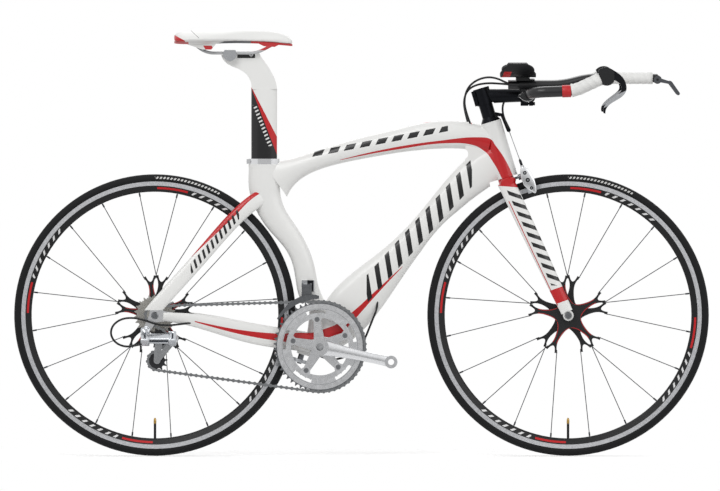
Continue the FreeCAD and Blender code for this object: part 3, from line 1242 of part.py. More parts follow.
def quick_release_lever(centre, gap, lever_turn):
    """The cam lever, lying closed along the wheel's side."""
    outer = gap / 2 + DROPOUT_THICKNESS
    pin_at = centre + Y_AXIS * (outer + CAM_PIN_OFFSET)
    out = lever_direction(lever_turn)
    across = out.cross(Y_AXIS)
    eye = rod(pin_at - across * 4, pin_at + across * 4, 5.4)
    arm = loft([oval(pin_at + out * distance + Y_AXIS * rise, out, across, half, thick)
                for distance, rise, half, thick in ((2.0, 0.5, 3.9, 3.5), (14.0, 5.0, 4.5, 3.2),
                                                    (34.0, 7.0, 7.0, 2.6), (QR_LEVER_LENGTH, 5.0, 6.0, 2.2))])
    hole = rod(pin_at - across * 12, pin_at + across * 12, CAM_PIN_RADIUS + RUN_FIT)
    return fuse([eye, arm]).cut(hole)


# Cranks and rings

SMALL_RING_Y = BIG_RING_Y + RING_SPACING
SPIDER_LOW = BIG_RING_Y + RING_THICKNESS / 2
SPIDER_HIGH = SMALL_RING_Y - RING_THICKNESS / 2
SPIDER_ANGLES = ring_positions(STAR_ARMS, CRANK_ANGLE + 36)


def bolt_points():
    return [BOTTOM_BRACKET + vec(math.cos(a), 0, math.sin(a)) * (BOLT_CIRCLE / 2) for a in SPIDER_ANGLES]


def chainring(teeth, phase, y):
    """A toothed ring with five inward tabs for its bolts."""
    disc = sprocket_disc(teeth, phase, BOTTOM_BRACKET, RING_THICKNESS, y)
    low, high = y - RING_THICKNESS / 2, y + RING_THICKNESS / 2
    window = rod(BOTTOM_BRACKET + Y_AXIS * (low - 1), BOTTOM_BRACKET + Y_AXIS * (high + 1), RING_INNER_RADIUS)
    tabs = []
    for angle, point in zip(SPIDER_ANGLES, bolt_points()):
        edge = BOTTOM_BRACKET + vec(math.cos(angle), 0, math.sin(angle)) * (RING_INNER_RADIUS + 2)
        tabs.append(bar_plate((point.x, point.z), (edge.x, edge.z), 8.5, 12.0, low, high))
    holes = [rod(p + Y_AXIS * (low - 1), p + Y_AXIS * (high + 1), RING_BOLT_RADIUS) for p in bolt_points()]
    return fuse([disc.cut(window)] + [tab.common(disc) for tab in tabs]).cut(holes)


def big_chainring():
    """The big ring, with a crescent slot outside each of its bolts."""
    low, high = BIG_RING_Y - RING_THICKNESS, BIG_RING_Y + RING_THICKNESS
    slots = []
    for angle in SPIDER_ANGLES:
        middle = math.degrees(angle)
        span = (middle - CRESCENT_HALF_ANGLE, middle + CRESCENT_HALF_ANGLE)
        slots.append(arc_plate(CRESCENT_RADII, span, low, high))
    return chainring(BIG_RING_TEETH, TOOTH_PHASES[0], BIG_RING_Y).cut(slots)


def chainring_bolts():
    """Five bolts and nuts that hold both rings to the spider."""
    bolts = []
    low = BIG_RING_Y - RING_THICKNESS / 2
    high = SMALL_RING_Y + RING_THICKNESS / 2
    for point in bolt_points():
        shank = rod(point + Y_AXIS * low, point + Y_AXIS * high, RING_BOLT_RADIUS)
        head = rod(point + Y_AXIS * (low - 1.5), point + Y_AXIS * low, RING_BOLT_RADIUS + 2)
        nut = rod(point + Y_AXIS * high, point + Y_AXIS * (high + 1.2), RING_BOLT_RADIUS + 1.5)
        socket = rod(point + Y_AXIS * (low - 2), point + Y_AXIS * (low + 2.5), 2.5)
        bolts.append(fuse([shank, head, nut]).cut(socket))
    return Part.makeCompound(bolts)


def crank_arm(angle, inner_y, outer_y):
    """A tapered crank arm with its pedal eye, threaded right through."""
    turn = math.radians(angle)
    out = vec(math.cos(turn), 0, math.sin(turn))
    middle_y = (inner_y + outer_y) / 2
    half = abs(outer_y - inner_y) / 2
    centre = BOTTOM_BRACKET + Y_AXIS * middle_y
    across = out.cross(Y_AXIS)
    sections = [(2.0, 19.0, half), (55.0, 14.5, half * 0.95), (115.0, 12.0, half * 0.9),
                (CRANK_LENGTH - 4, 13.0, half * 0.9)]
    shape = loft([oval(centre + out * distance, out, across, width, thick)
                  for distance, width, thick in sections])
    eye_at = BOTTOM_BRACKET + out * CRANK_LENGTH
    eye = rod(eye_at + Y_AXIS * inner_y, eye_at + Y_AXIS * outer_y, PEDAL_EYE_RADIUS)
    boss = rod(BOTTOM_BRACKET + Y_AXIS * inner_y, BOTTOM_BRACKET + Y_AXIS * outer_y, 21.0)
    thread = rod(eye_at - Y_AXIS * 200, eye_at + Y_AXIS * 200, PEDAL_THREAD_RADIUS)
    return fuse([shape, eye, boss]).cut(thread)


def crank_right():
    """Right arm with the five-armed spider between the two rings."""
    arm = crank_arm(CRANK_ANGLE, CRANK_INNER_Y, CRANK_INNER_Y - CRANK_THICKNESS)
    hub_inner = -(BB_SHELL_WIDTH / 2 + BB_CUP_THICKNESS + SIDE_GAP)
    hub_rod = rod(BOTTOM_BRACKET + Y_AXIS * hub_inner, BOTTOM_BRACKET + Y_AXIS * (CRANK_INNER_Y - 2), 21.0)
    pieces = [arm, hub_rod]
    for angle, point in zip(SPIDER_ANGLES, bolt_points()):
        root = BOTTOM_BRACKET + vec(math.cos(angle), 0, math.sin(angle)) * 14
        pieces.append(bar_plate((root.x, root.z), (point.x, point.z), 13.0, 8.0, SPIDER_LOW, SPIDER_HIGH))
        knee = BOTTOM_BRACKET + vec(math.cos(angle), 0, math.sin(angle)) * 46
        pieces.append(bar_plate((root.x, root.z), (knee.x, knee.z), 12.0, 7.0, SPIDER_LOW - 6, SPIDER_LOW))
    holes = [rod(p - Y_AXIS * 80, p, RING_BOLT_RADIUS) for p in bolt_points()]
    spindle_bore = rod(BOTTOM_BRACKET - Y_AXIS * 90, BOTTOM_BRACKET + Y_AXIS * 90, SPINDLE_RADIUS)
    return fuse(pieces).cut(holes + [spindle_bore])


def crank_left():
    """Left arm and, pressed into it, the hollow spindle that crosses the bottom bracket."""
    inner = -CRANK_INNER_Y
    seat = inner + SPINDLE_SEAT
    arm = crank_arm(CRANK_ANGLE + 180, inner, inner + CRANK_THICKNESS)
    socket_floor = BOTTOM_BRACKET + Y_AXIS * seat
    socket = rod(BOTTOM_BRACKET + Y_AXIS * (inner - 1), socket_floor, SPINDLE_RADIUS + FIXED_FIT)
    right_end = BOTTOM_BRACKET + Y_AXIS * (CRANK_INNER_Y - CRANK_THICKNESS)
    spindle = rod(right_end, BOTTOM_BRACKET + Y_AXIS * (seat - FIXED_FIT), SPINDLE_RADIUS)
    collar = rod(BOTTOM_BRACKET + Y_AXIS * (BB_SHELL_WIDTH / 2 + BB_CUP_THICKNESS + SIDE_GAP),
                 BOTTOM_BRACKET + Y_AXIS * (inner - FIXED_FIT), 17.0)
    hollow = rod(right_end, BOTTOM_BRACKET + Y_AXIS * seat, SPINDLE_RADIUS - SPINDLE_WALL)
    return Part.makeCompound([arm.cut(socket), fuse([spindle, collar]).cut(hollow)])


def chain():
    """Inner and outer links in turn around the whole run."""
    def disc_pair(radius, low, high):
        return [rod(vec(x, low, 0), vec(x, high, 0), radius) for x in (0, CHAIN_PITCH)]

    def side_plates(low):
        plates = []
        for side in (1, -1):
            start, end = side * low, side * (low + CHAIN_PLATE)
            waist = plate([(0, -CHAIN_WAIST), (CHAIN_PITCH, -CHAIN_WAIST), (CHAIN_PITCH, CHAIN_WAIST),
                           (0, CHAIN_WAIST)], start, end)
            plates += disc_pair(CHAIN_PLATE_RADIUS, start, end) + [waist]
        return plates

    outer_low = CHAIN_INNER_HALF + CHAIN_PLATE + CHAIN_PLATE_GAP
    outer_end = outer_low + CHAIN_PLATE
    outer_link = fuse(side_plates(outer_low) + disc_pair(CHAIN_PIN_RADIUS, -outer_end, outer_end))
    inner_end = CHAIN_INNER_HALF + CHAIN_PLATE
    rollers = disc_pair(ROLLER_RADIUS, -CHAIN_INNER_HALF, CHAIN_INNER_HALF)
    inner_link = fuse(side_plates(CHAIN_INNER_HALF) + rollers)
    inner_link = inner_link.cut(disc_pair(CHAIN_PIN_RADIUS + CHAIN_PLATE_GAP, -inner_end - 1, inner_end + 1))
    links = []
    for index, start in enumerate(CHAIN_PINS):
        end = CHAIN_PINS[(index + 1) % len(CHAIN_PINS)]
        along = (end - start).normalize()
        up = along.cross(Y_AXIS).normalize()
        across = up.cross(along)
        matrix = FreeCAD.Matrix(along.x, across.x, up.x, start.x,
                                along.y, across.y, up.y, start.y,
                                along.z, across.z, up.z, start.z,
                                0, 0, 0, 1)
        link = (inner_link if index % 2 else outer_link).copy()
        link.Placement = FreeCAD.Placement(matrix)
        links.append(link)
    return Part.makeCompound(links)


def cassette():
    """Ten cogs on the freehub body, with the lockring outside."""
    pieces = []
    inner_end = FIRST_COG_Y + COG_SPACING * (len(COG_TEETH) - 1) + COG_THICKNESS
    bore = AXLE_RADIUS + RUN_FIT
    lock_y = FIRST_COG_Y - COG_THICKNESS / 2
    body = pipe(REAR_AXLE + Y_AXIS * (lock_y - 1.5), REAR_AXLE + Y_AXIS * inner_end, FREEHUB_RADIUS, bore)
    for index, teeth in enumerate(COG_TEETH):
        y = FIRST_COG_Y + COG_SPACING * index
        phase = TOOTH_PHASES[3] if index == 0 else math.radians(11.0 * index)
        cog = sprocket_disc(teeth, phase, REAR_AXLE, COG_THICKNESS, y)
        hole = rod(REAR_AXLE - Y_AXIS * 100, REAR_AXLE, FREEHUB_RADIUS)
        web = pitch_radius(teeth) - 9
        cog = cog.cut(hole)
        if web > FREEHUB_RADIUS + 12:
            for angle in ring_positions(6, 15.0 * index):
                place = REAR_AXLE + vec(math.cos(angle), 0, math.sin(angle)) * ((web + FREEHUB_RADIUS) / 2)
                cog = cog.cut(rod(place - Y_AXIS * 100, place, (web - FREEHUB_RADIUS) / 2 - 2))
        pieces.append(cog)
        if index:
            spacer = pipe(REAR_AXLE + Y_AXIS * (y - COG_SPACING + COG_THICKNESS / 2),
                          REAR_AXLE + Y_AXIS * (y - COG_THICKNESS / 2), FREEHUB_RADIUS + 1.2, FREEHUB_RADIUS)
            pieces.append(spacer)
    return Part.makeCompound([body] + pieces)


# Front derailleur

FD_LINK_FOOT = vec(-130.0, -31.0, 385.0)
FD_LINK_TOP = vec(-130.0, -32.6, 406.0)
FD_PIN_RADIUS = 2.2
FD_EAR_RADIUS = 4.2
FD_INNER_PLATE = -42.0
FD_OUTER_PLATE = -53.5
FD_PLATE = 1.2
# Angle about the bottom bracket, lower radius and upper radius along the cage's plates
FD_CAGE_STATIONS = [(91.0, 113.5, 121.0), (106.0, 113.5, 127.0), (126.0, 114.5, 125.5), (147.0, 117.0, 121.5)]
FD_BRIDGE_RADII = (118.0, 120.0)


def fd_body():
    """Front derailleur base on the seat tube's right side, with its link pin."""
    foot = FD_LINK_FOOT
    base = Part.makeBox(30, 20, 26, vec(foot.x - 12, foot.y + 10, foot.z + 6))
    base = base.cut(frame_tube(SEAT_TUBE))
    base = max(base.Solids, key=lambda solid: solid.Volume)
    ears = [rod(foot + vec(x, 0, 0), foot + vec(x + 4, 0, 0), FD_EAR_RADIUS) for x in (-12, 8)]
    webs = [Part.makeBox(4, 11, 12, foot + vec(x, 0, 2)) for x in (-12, 8)]
    pin = rod(foot - X_AXIS * 12, foot + X_AXIS * 12, FD_PIN_RADIUS)
    return fuse([base, pin] + ears + webs)


def fd_link():
    """The swinging link between the base and the cage."""
    foot, top = FD_LINK_FOOT, FD_LINK_TOP
    half = 8 - SIDE_GAP
    eyes = [rod(p - X_AXIS * half, p + X_AXIS * half, 4.0) for p in (foot, top)]
    line = top - foot
    bar = loft([oval(foot + line * share, line, X_AXIS, half, 3.0) for share in (0.1, 0.9)])
    holes = [rod(p - X_AXIS * 30, p + X_AXIS * 30, FD_PIN_RADIUS + RUN_FIT) for p in (foot, top)]
    return fuse(eyes + [bar]).cut(holes)


def arc_plate(radii, span, y_low, y_high):
    """A curved strip about the bottom bracket between two radii and two angles."""
    start, end = (math.radians(angle) for angle in span)
    middle = (start + end) / 2

    def at(radius, angle):
        return BOTTOM_BRACKET + vec(math.cos(angle) * radius, y_low, math.sin(angle) * radius)

    low, high = radii
    edges = [Part.Arc(at(low, start), at(low, middle), at(low, end)).toShape(),
             Part.LineSegment(at(low, end), at(high, end)).toShape(),
             Part.Arc(at(high, end), at(high, middle), at(high, start)).toShape(),
             Part.LineSegment(at(high, start), at(low, start)).toShape()]
    return Part.Face(Part.Wire(edges)).extrude(vec(0, y_high - y_low, 0))


def cage_plate(y_low, y_high):
    """One tapered plate of the cage, curved about the bottom bracket."""
    lower, upper = [], []
    for degrees, low, high in FD_CAGE_STATIONS:
        turn = math.radians(degrees)
        for edge, radius in ((lower, low), (upper, high)):
            edge.append((BOTTOM_BRACKET.x + radius * math.cos(turn),
                         BOTTOM_BRACKET.z + radius * math.sin(turn)))
    return curved_plate(upper, lower, y_low, y_high)


def fd_cage():
    """Two curved plates over the big ring, joined above the chain, with the link's pin."""
    start, end = FD_CAGE_STATIONS[0][0], FD_CAGE_STATIONS[-1][0]
    tail_low = FD_CAGE_STATIONS[-1][1]
    pieces = [cage_plate(FD_INNER_PLATE - FD_PLATE, FD_INNER_PLATE),
              cage_plate(FD_OUTER_PLATE, FD_OUTER_PLATE + FD_PLATE),
              arc_plate(FD_BRIDGE_RADII, (start + 2, start + 18), FD_OUTER_PLATE, FD_INNER_PLATE),
              arc_plate((tail_low + 1, tail_low + 3), (end - 3, end - 1), FD_OUTER_PLATE, FD_INNER_PLATE)]
    top = FD_LINK_TOP
    for x in (-12, 8):
        pieces.append(rod(top + vec(x, 0, 0), top + vec(x + 4, 0, 0), FD_EAR_RADIUS))
        pieces.append(Part.makeBox(4, top.y - FD_INNER_PLATE, FD_EAR_RADIUS, vec(top.x + x, FD_INNER_PLATE,
                                                                                top.z - FD_EAR_RADIUS)))
    pieces.append(Part.makeBox(24, FD_PLATE, 34, vec(top.x - 12, FD_INNER_PLATE - FD_PLATE, top.z - 32)))
    pieces.append(rod(top - X_AXIS * 12, top + X_AXIS * 12, FD_PIN_RADIUS))
    return fuse(pieces)


# Rear derailleur

def slanted_block(centre, half_x, across_low, across_high, axis_low, axis_high):
    """A block whose sides follow the derailleur's slanted pivot axis."""
    block = Part.makeBox(2 * half_x, across_high - across_low, axis_high - axis_low,
                         vec(-half_x, across_low, axis_low))
    matrix = FreeCAD.Matrix(1, 0, 0, centre.x,
                            0, LINK_ACROSS.y, LINK_AXIS.y, centre.y,
                            0, LINK_ACROSS.z, LINK_AXIS.z, centre.z,
                            0, 0, 0, 1)
    block.Placement = FreeCAD.Placement(matrix)
    return block


EAR_THICKNESS = 4.0
EAR_HALF = 6.5


def link_pins(centre):
    """Two pivot pins and the ears that hold their ends."""
    half = LINK_HEIGHT / 2 + SIDE_GAP
    reach = LINK_SPACING / 2 + 6
    shapes = [slanted_block(centre, EAR_HALF, -reach, reach, low, low + EAR_THICKNESS)
              for low in (half, -half - EAR_THICKNESS)]
    for side in (-1, 1):
        place = centre + LINK_ACROSS * (side * LINK_SPACING / 2)
        shapes.append(rod(place - LINK_AXIS * (half + 2), place + LINK_AXIS * (half + 2), LINK_PIN_RADIUS))
    return shapes


def rd_link(side):
    """One parallel link; side is -1 for the outer and 1 for the inner one."""
    half = LINK_HEIGHT / 2
    start = UPPER_PINS + LINK_ACROSS * (side * LINK_SPACING / 2)
    end = LOWER_PINS + LINK_ACROSS * (side * LINK_SPACING / 2)
    eyes = [rod(p - LINK_AXIS * half, p + LINK_AXIS * half, LINK_PIN_RADIUS + 2.2) for p in (start, end)]
    thick = LINK_THICKNESS / 2
    bar = slanted_block((start + end) / 2, LINK_LENGTH / 2, -thick, thick, -half, half)
    holes = [rod(p - LINK_AXIS * 30, p + LINK_AXIS * 30, LINK_PIN_RADIUS + RUN_FIT) for p in (start, end)]
    return fuse(eyes + [bar]).cut(holes)


def rd_upper_knuckle():
    """The knuckle on the hanger bolt that carries both links."""
    outer_face = -REAR_DROPOUT_GAP / 2 - DROPOUT_THICKNESS
    boss_at = vec(HANGER_BOLT.x, outer_face, HANGER_BOLT.z)
    boss = rod(boss_at, boss_at - Y_AXIS * 16, 9.5)
    bolt = rod(vec(HANGER_BOLT.x, outer_face + DROPOUT_THICKNESS, HANGER_BOLT.z),
               vec(HANGER_BOLT.x, outer_face - 19, HANGER_BOLT.z), 5.0)
    half = LINK_HEIGHT / 2 + SIDE_GAP + EAR_THICKNESS
    reach = LINK_SPACING / 2 + 6
    spine_at = UPPER_PINS - X_AXIS * (EAR_HALF + 4)
    spine = slanted_block(spine_at, 4.5, -reach, reach, -half, half)
    neck = slanted_block(spine_at, 4.5, -reach, 0, half - 1, half + 10)
    return fuse([boss, bolt, spine, neck] + link_pins(UPPER_PINS))


def rd_lower_knuckle():
    """The moving knuckle that carries the cage pivot."""
    half = LINK_HEIGHT / 2 + SIDE_GAP + EAR_THICKNESS
    reach = LINK_SPACING / 2 + 6
    spine = slanted_block(LOWER_PINS + X_AXIS * (EAR_HALF + 3), 4.0, -reach, reach, -half, half)
    cage_face = CAGE_PIVOT.y - CAGE_HALF_GAP - CAGE_PLATE - SIDE_GAP
    boss_at = vec(CAGE_PIVOT.x, cage_face, CAGE_PIVOT.z)
    boss = rod(boss_at, vec(CAGE_PIVOT.x, LINK_MID_Y, CAGE_PIVOT.z), 8.0)
    link_room = slanted_block(LOWER_PINS - X_AXIS * 20, 26.0, -reach, reach, -LINK_HEIGHT / 2 - SIDE_GAP,
                              LINK_HEIGHT / 2 + SIDE_GAP)
    pin_end = vec(CAGE_PIVOT.x, CAGE_PIVOT.y - CAGE_HALF_GAP, CAGE_PIVOT.z)
    pin = rod(boss_at - Y_AXIS, pin_end, CAGE_PIVOT_RADIUS)
    return fuse([spine, boss.cut(link_room), pin] + link_pins(LOWER_PINS))


def rd_cage():
    """Two cage plates with the pulley axles; it swings on the lower knuckle."""
    y = CAGE_PIVOT.y
    outer_low, outer_high = y - CAGE_HALF_GAP - CAGE_PLATE, y - CAGE_HALF_GAP
    inner_low, inner_high = y + CAGE_HALF_GAP, y + CAGE_HALF_GAP + CAGE_PLATE
    guide = (GUIDE_PULLEY.x, GUIDE_PULLEY.z)
    tension = (TENSION_PULLEY.x, TENSION_PULLEY.z)
    pivot = (CAGE_PIVOT.x, CAGE_PIVOT.z)
    pieces = [bar_plate(pivot, guide, 9.0, 9.0, outer_low, outer_high),
              bar_plate(guide, tension, 9.0, 8.0, outer_low, outer_high),
              bar_plate(pivot, tension, 8.0, 6.0, outer_low, outer_high),
              bar_plate(guide, tension, 9.0, 8.0, inner_low, inner_high)]
    pieces += [rod(vec(x, outer_low - 1, z), vec(x, inner_high + 1, z), LINK_PIN_RADIUS)
               for x, z in (guide, tension)]
    hole = rod(vec(pivot[0], y - 30, pivot[1]), vec(pivot[0], y, pivot[1]), CAGE_PIVOT_RADIUS + RUN_FIT)
    return fuse(pieces).cut(hole)


def pulley(centre, phase):
    """A toothed jockey pulley with a raised hub, running on the cage's axle."""
    disc = sprocket_disc(PULLEY_TEETH, phase, centre, COG_THICKNESS, centre.y)
    half = CAGE_HALF_GAP - SIDE_GAP
    middle = rod(centre - Y_AXIS * half, centre + Y_AXIS * half, PULLEY_HUB_RADIUS)
    bore = rod(centre - Y_AXIS * 20, centre + Y_AXIS * 20, LINK_PIN_RADIUS + RUN_FIT)
    return fuse([disc, middle]).cut(bore)


# Brakes

def brake_frame(origin, out, inward):
    """A placement whose local axes are: across the bike, towards the rim, out from the mount."""
    across = inward.cross(out)
    return FreeCAD.Matrix(across.x, inward.x, out.x, origin.x,
                          across.y, inward.y, out.y, origin.y,
                          across.z, inward.z, out.z, origin.z,
                          0, 0, 0, 1)


def placed(shape, matrix):
    shape.Placement = FreeCAD.Placement(matrix)
    return shape


ARM_LOW = BRAKE_SPACER + BRAKE_PLATE + SIDE_GAP


def brake_mount(matrix, bolt_length):
    """Centre bolt, spacer and the plate with two pivot pins."""
    spacer = rod(vec(0, 0, 0), vec(0, 0, BRAKE_SPACER), 7.0)
    bolt = rod(vec(0, 0, -bolt_length), vec(0, 0, BRAKE_SPACER + 2), BRAKE_PIN_RADIUS)
    bar = Part.makeBox(2 * BRAKE_PIVOT_SPREAD, 14, BRAKE_PLATE, vec(-BRAKE_PIVOT_SPREAD, -7, BRAKE_SPACER))
    ends = [rod(vec(x, 0, BRAKE_SPACER), vec(x, 0, BRAKE_SPACER + BRAKE_PLATE), 7.0)
            for x in (-BRAKE_PIVOT_SPREAD, BRAKE_PIVOT_SPREAD)]
    pin_top = ARM_LOW + BRAKE_ARM_THICKNESS + SIDE_GAP
    pins = [rod(vec(x, 0, BRAKE_SPACER), vec(x, 0, pin_top + 2), BRAKE_PIN_RADIUS)
            for x in (-BRAKE_PIVOT_SPREAD, BRAKE_PIVOT_SPREAD)]
    heads = [rod(vec(x, 0, pin_top), vec(x, 0, pin_top + 2.5), 5.5)
             for x in (-BRAKE_PIVOT_SPREAD, BRAKE_PIVOT_SPREAD)]
    return placed(fuse([spacer, bolt, bar] + ends + pins + heads), matrix)


def brake_arm(matrix, side, reach):
    """One calliper arm with its pad; side is 1 on the right and -1 on the left."""
    rim_half = RIM_WIDTH / 2
    pad_inner = rim_half + BRAKE_PAD_GAP
    outline = [(3.5, -9.0), (5.0, -BRAKE_ARM_RISE), (14.0, -BRAKE_ARM_RISE), (26.0, -7.0), (33.0, 10.0),
               (33.5, reach - 8), (29.0, reach + 8), (pad_inner + 6.5, reach + 8),
               (pad_inner + 6.5, reach - 6), (23.0, reach - 16), (20.0, 11.0), (3.5, 9.0)]
    corners = [vec(side * x, y, ARM_LOW) for x, y in outline]
    arm = Part.Face(Part.makePolygon(corners + corners[:1])).extrude(vec(0, 0, BRAKE_ARM_THICKNESS))
    middle = ARM_LOW + BRAKE_ARM_THICKNESS / 2
    pad_low = min(side * pad_inner, side * (pad_inner + 8))
    pad = Part.makeBox(8, 9, BRAKE_PAD_LENGTH, vec(pad_low, reach - 4.5, middle - BRAKE_PAD_LENGTH * 0.38))
    pivot = vec(side * BRAKE_PIVOT_SPREAD, 0, 0)
    hole = rod(pivot, pivot + Z_AXIS * 60, BRAKE_PIN_RADIUS + RUN_FIT)
    return placed(fuse([arm, pad]).cut(hole), matrix)


FRONT_BRAKE = on_steer_line(CROWN_RACE - 8, ahead=CROWN_RADIUS + 1)
FRONT_BRAKE_FRAME = brake_frame(FRONT_BRAKE, STEER_AHEAD, STEER_UP * -1)
REAR_BRAKE_FRAME = brake_frame(REAR_BRAKE + BRAKE_UP * BRAKE_SHELF, BRAKE_UP * -1, BRAKE_IN)
CABLE_HOOK = vec(349.0, 0, 773.0)


# Cables

def control_cables():
    """Two housings from the extensions into the top tube, the rear brake wire and the derailleur loop."""
    shift_right = [vec(258.0, -7.0, 788.0), vec(245.0, -8.0, 822.0), vec(244.0, -9.0, 852.0),
                   vec(254.0, -12.0, 877.0), vec(275.0, -20.0, 893.0), vec(300.0, -31.0, 899.5),
                   vec(323.0, -43.0, 895.5), vec(342.0, -51.5, 886.0),
                   vec(EXTENSION_POINTS[0].x + HOUSING_INSERT, -EXTENSION_SPREAD, EXTENSION_LOW)]
    shift_left = [vec(252.0, 7.0, 792.0), vec(243.0, 12.0, 824.0), vec(243.5, 17.0, 850.0),
                  vec(253.0, 24.0, 869.0), vec(272.0, 33.0, 880.0), vec(298.0, 44.0, 884.0),
                  vec(324.0, 52.0, 883.0),
                  vec(EXTENSION_POINTS[0].x + HOUSING_INSERT, EXTENSION_SPREAD, EXTENSION_LOW)]
    loop = [vec(-404.0, -66.0, 317.0), vec(-432.0, -79.0, 313.5), vec(-460.0, -91.0, 311.0),
            vec(-486.0, -99.0, 314.0), vec(-511.0, -103.0, 323.0), vec(-538.0, -103.0, 330.0),
            vec(-567.0, -100.0, 328.0), vec(-589.0, -97.0, 313.0), vec(-595.0, -95.0, 291.0),
            vec(-584.0, -93.0, 271.0), vec(-563.0, -91.5, 261.0), vec(-542.0, -90.5, 262.0),
            vec(-521.0, -89.5, 267.0)]
    brake_wire = [vec(38.0, -10.0, 378.0), vec(38.0, -17.0, 352.0), vec(28.0, -20.0, 328.0),
                  vec(18.0, -20.0, 303.0), vec(9.0, -18.0, 280.0), vec(-6.0, -15.0, 257.0),
                  vec(-29.0, -12.0, 239.0), vec(-56.0, -9.0, 229.0), vec(-80.0, -6.0, 229.0),
                  vec(-98.0, -4.0, 236.5)]
    routes = (("right shift housing", shift_right), ("left shift housing", shift_left),
              ("derailleur loop", loop), ("rear brake housing", brake_wire))
    return Part.makeCompound([swept_tube(points, HOUSING_RADIUS, label) for label, points in routes])


def front_brake_cable():
    """Housing from the bar to the cable hanger, and the bare wire on to the brake."""
    housing = [vec(342.0, -4.0, 849.0), vec(336.5, -4.5, 837.0), vec(334.0, -4.5, 824.0),
               vec(336.0, -3.0, 808.0), vec(342.0, -1.0, 792.0), brake_wire_ends()[0]]
    wire_start, anchor = brake_wire_ends()
    along = (wire_start - anchor).normalize()
    wire_and_adjuster = fuse([rod(wire_start, anchor, WIRE_RADIUS), rod(anchor, anchor + along * 15, 3.2)])
    return Part.makeCompound([swept_tube(housing, HOUSING_RADIUS, "front brake housing"), wire_and_adjuster])


def brake_wire_ends():
    """Where the front brake's bare wire leaves its housing and where it meets the right arm."""
    arm_middle = ARM_LOW + BRAKE_ARM_THICKNESS / 2
    anchor = FRONT_BRAKE + STEER_UP * (BRAKE_ARM_RISE + 3 * SIDE_GAP) + STEER_AHEAD * arm_middle - Y_AXIS * 9
    return CABLE_HOOK + STEER_UP * 5.5, anchor


# Assembly

FRONT_SIDES = ((-FRONT_STAR_OFFSET, FRONT_STAR_ANGLE), (FRONT_STAR_OFFSET, FRONT_STAR_ANGLE - 18))
REAR_SIDES = ((-REAR_DRIVE_STAR_OFFSET, REAR_STAR_ANGLE), (REAR_STAR_OFFSET, REAR_STAR_ANGLE - 18))
FRONT_LEVER_TURN = 115.0
REAR_LEVER_TURN = 30.0


def wheel(name, centre, sides, hub_low, hub_high):
    """The four nodes of one wheel."""
    spokes = wheel_spokes(centre, sides)
    return {name + "_tyre_and_tube": tyre_and_tube(centre),
            name + "_rim": rim(centre, spokes),
            name + "_spokes": Part.makeCompound(spokes),
            name + "_hub": hub(centre, sides, hub_low, hub_high, spokes)}


def build():
    nodes = {}
    nodes["main_frame"] = main_frame()
    nodes["rear_stays"] = rear_stays(nodes["main_frame"])
    nodes["rear_dropouts"] = rear_dropouts()
    nodes["seat_collar"] = seat_collar()
    nodes["bottom_bracket"] = bottom_bracket()
    nodes["headset_bearings"] = headset_bearings()
    nodes["fork"] = fork()
    nodes["headset_spacers"] = headset_spacers()
    nodes["stem"] = stem()
    nodes["base_bar"] = base_bar()
    nodes["bar_tape"] = bar_tape()
    nodes["extensions"] = extensions()
    nodes["arm_rest_brackets"] = arm_rest_brackets()
    nodes["arm_pads"] = arm_pads()
    nodes["control_bodies"] = control_bodies()
    nodes["brake_lever_left"] = brake_lever()
    nodes["brake_lever_right"] = mirrored(brake_lever())
    nodes["shift_lever_left"] = shift_lever()
    nodes["shift_lever_right"] = mirrored(shift_lever())
    nodes["seatpost"] = seatpost()
    nodes["saddle_clamp"] = saddle_clamp()
    nodes["saddle_cover"] = saddle_cover()
    nodes["saddle_base"] = saddle_base()
    front_end = FRONT_DROPOUT_GAP / 2 - SIDE_GAP
    nodes.update(wheel("front", FRONT_AXLE, FRONT_SIDES, -front_end, front_end))
    inner_cog = FIRST_COG_Y + COG_SPACING * (len(COG_TEETH) - 1) + COG_THICKNESS
    nodes.update(wheel("rear", REAR_AXLE, REAR_SIDES, inner_cog + SIDE_GAP, REAR_DROPOUT_GAP / 2 - SIDE_GAP))
    nodes["front_axle"] = axle(FRONT_AXLE, FRONT_DROPOUT_GAP, FRONT_LEVER_TURN)
    nodes["rear_axle"] = axle(REAR_AXLE, REAR_DROPOUT_GAP, REAR_LEVER_TURN)
    nodes["front_release_lever"] = quick_release_lever(FRONT_AXLE, FRONT_DROPOUT_GAP, FRONT_LEVER_TURN)
    nodes["rear_release_lever"] = quick_release_lever(REAR_AXLE, REAR_DROPOUT_GAP, REAR_LEVER_TURN)
    nodes["crank_right"] = crank_right()
    nodes["crank_left"] = crank_left()
    nodes["big_chainring"] = big_chainring()
    nodes["small_chainring"] = chainring(SMALL_RING_TEETH, 0.0, SMALL_RING_Y)
    nodes["chainring_bolts"] = chainring_bolts()
    nodes["chain"] = chain()
    nodes["cassette"] = cassette()
    nodes["fd_body"] = fd_body()
    nodes["fd_link"] = fd_link()
    nodes["fd_cage"] = fd_cage()
    nodes["rd_upper_knuckle"] = rd_upper_knuckle()
    nodes["rd_outer_link"] = rd_link(-1)
    nodes["rd_inner_link"] = rd_link(1)
    nodes["rd_lower_knuckle"] = rd_lower_knuckle()
    nodes["rd_cage"] = rd_cage()
    nodes["guide_pulley"] = pulley(GUIDE_PULLEY, TOOTH_PHASES[2])
    nodes["tension_pulley"] = pulley(TENSION_PULLEY, TOOTH_PHASES[1])
    nodes["front_brake_mount"] = brake_mount(FRONT_BRAKE_FRAME, 30.0)
    nodes["rear_brake_mount"] = brake_mount(REAR_BRAKE_FRAME, 14.0)
    brakes = (("front", FRONT_BRAKE_FRAME, BRAKE_REACH), ("rear", REAR_BRAKE_FRAME, REAR_BRAKE_REACH))
    for name, matrix, reach in brakes:
        for word, side in (("left", -1), ("right", 1)):
            nodes[name + "_brake_arm_" + word] = brake_arm(matrix, side, reach)
    nodes["control_cables"] = control_cables()
    nodes["front_brake_cable"] = front_brake_cable()
    return nodes


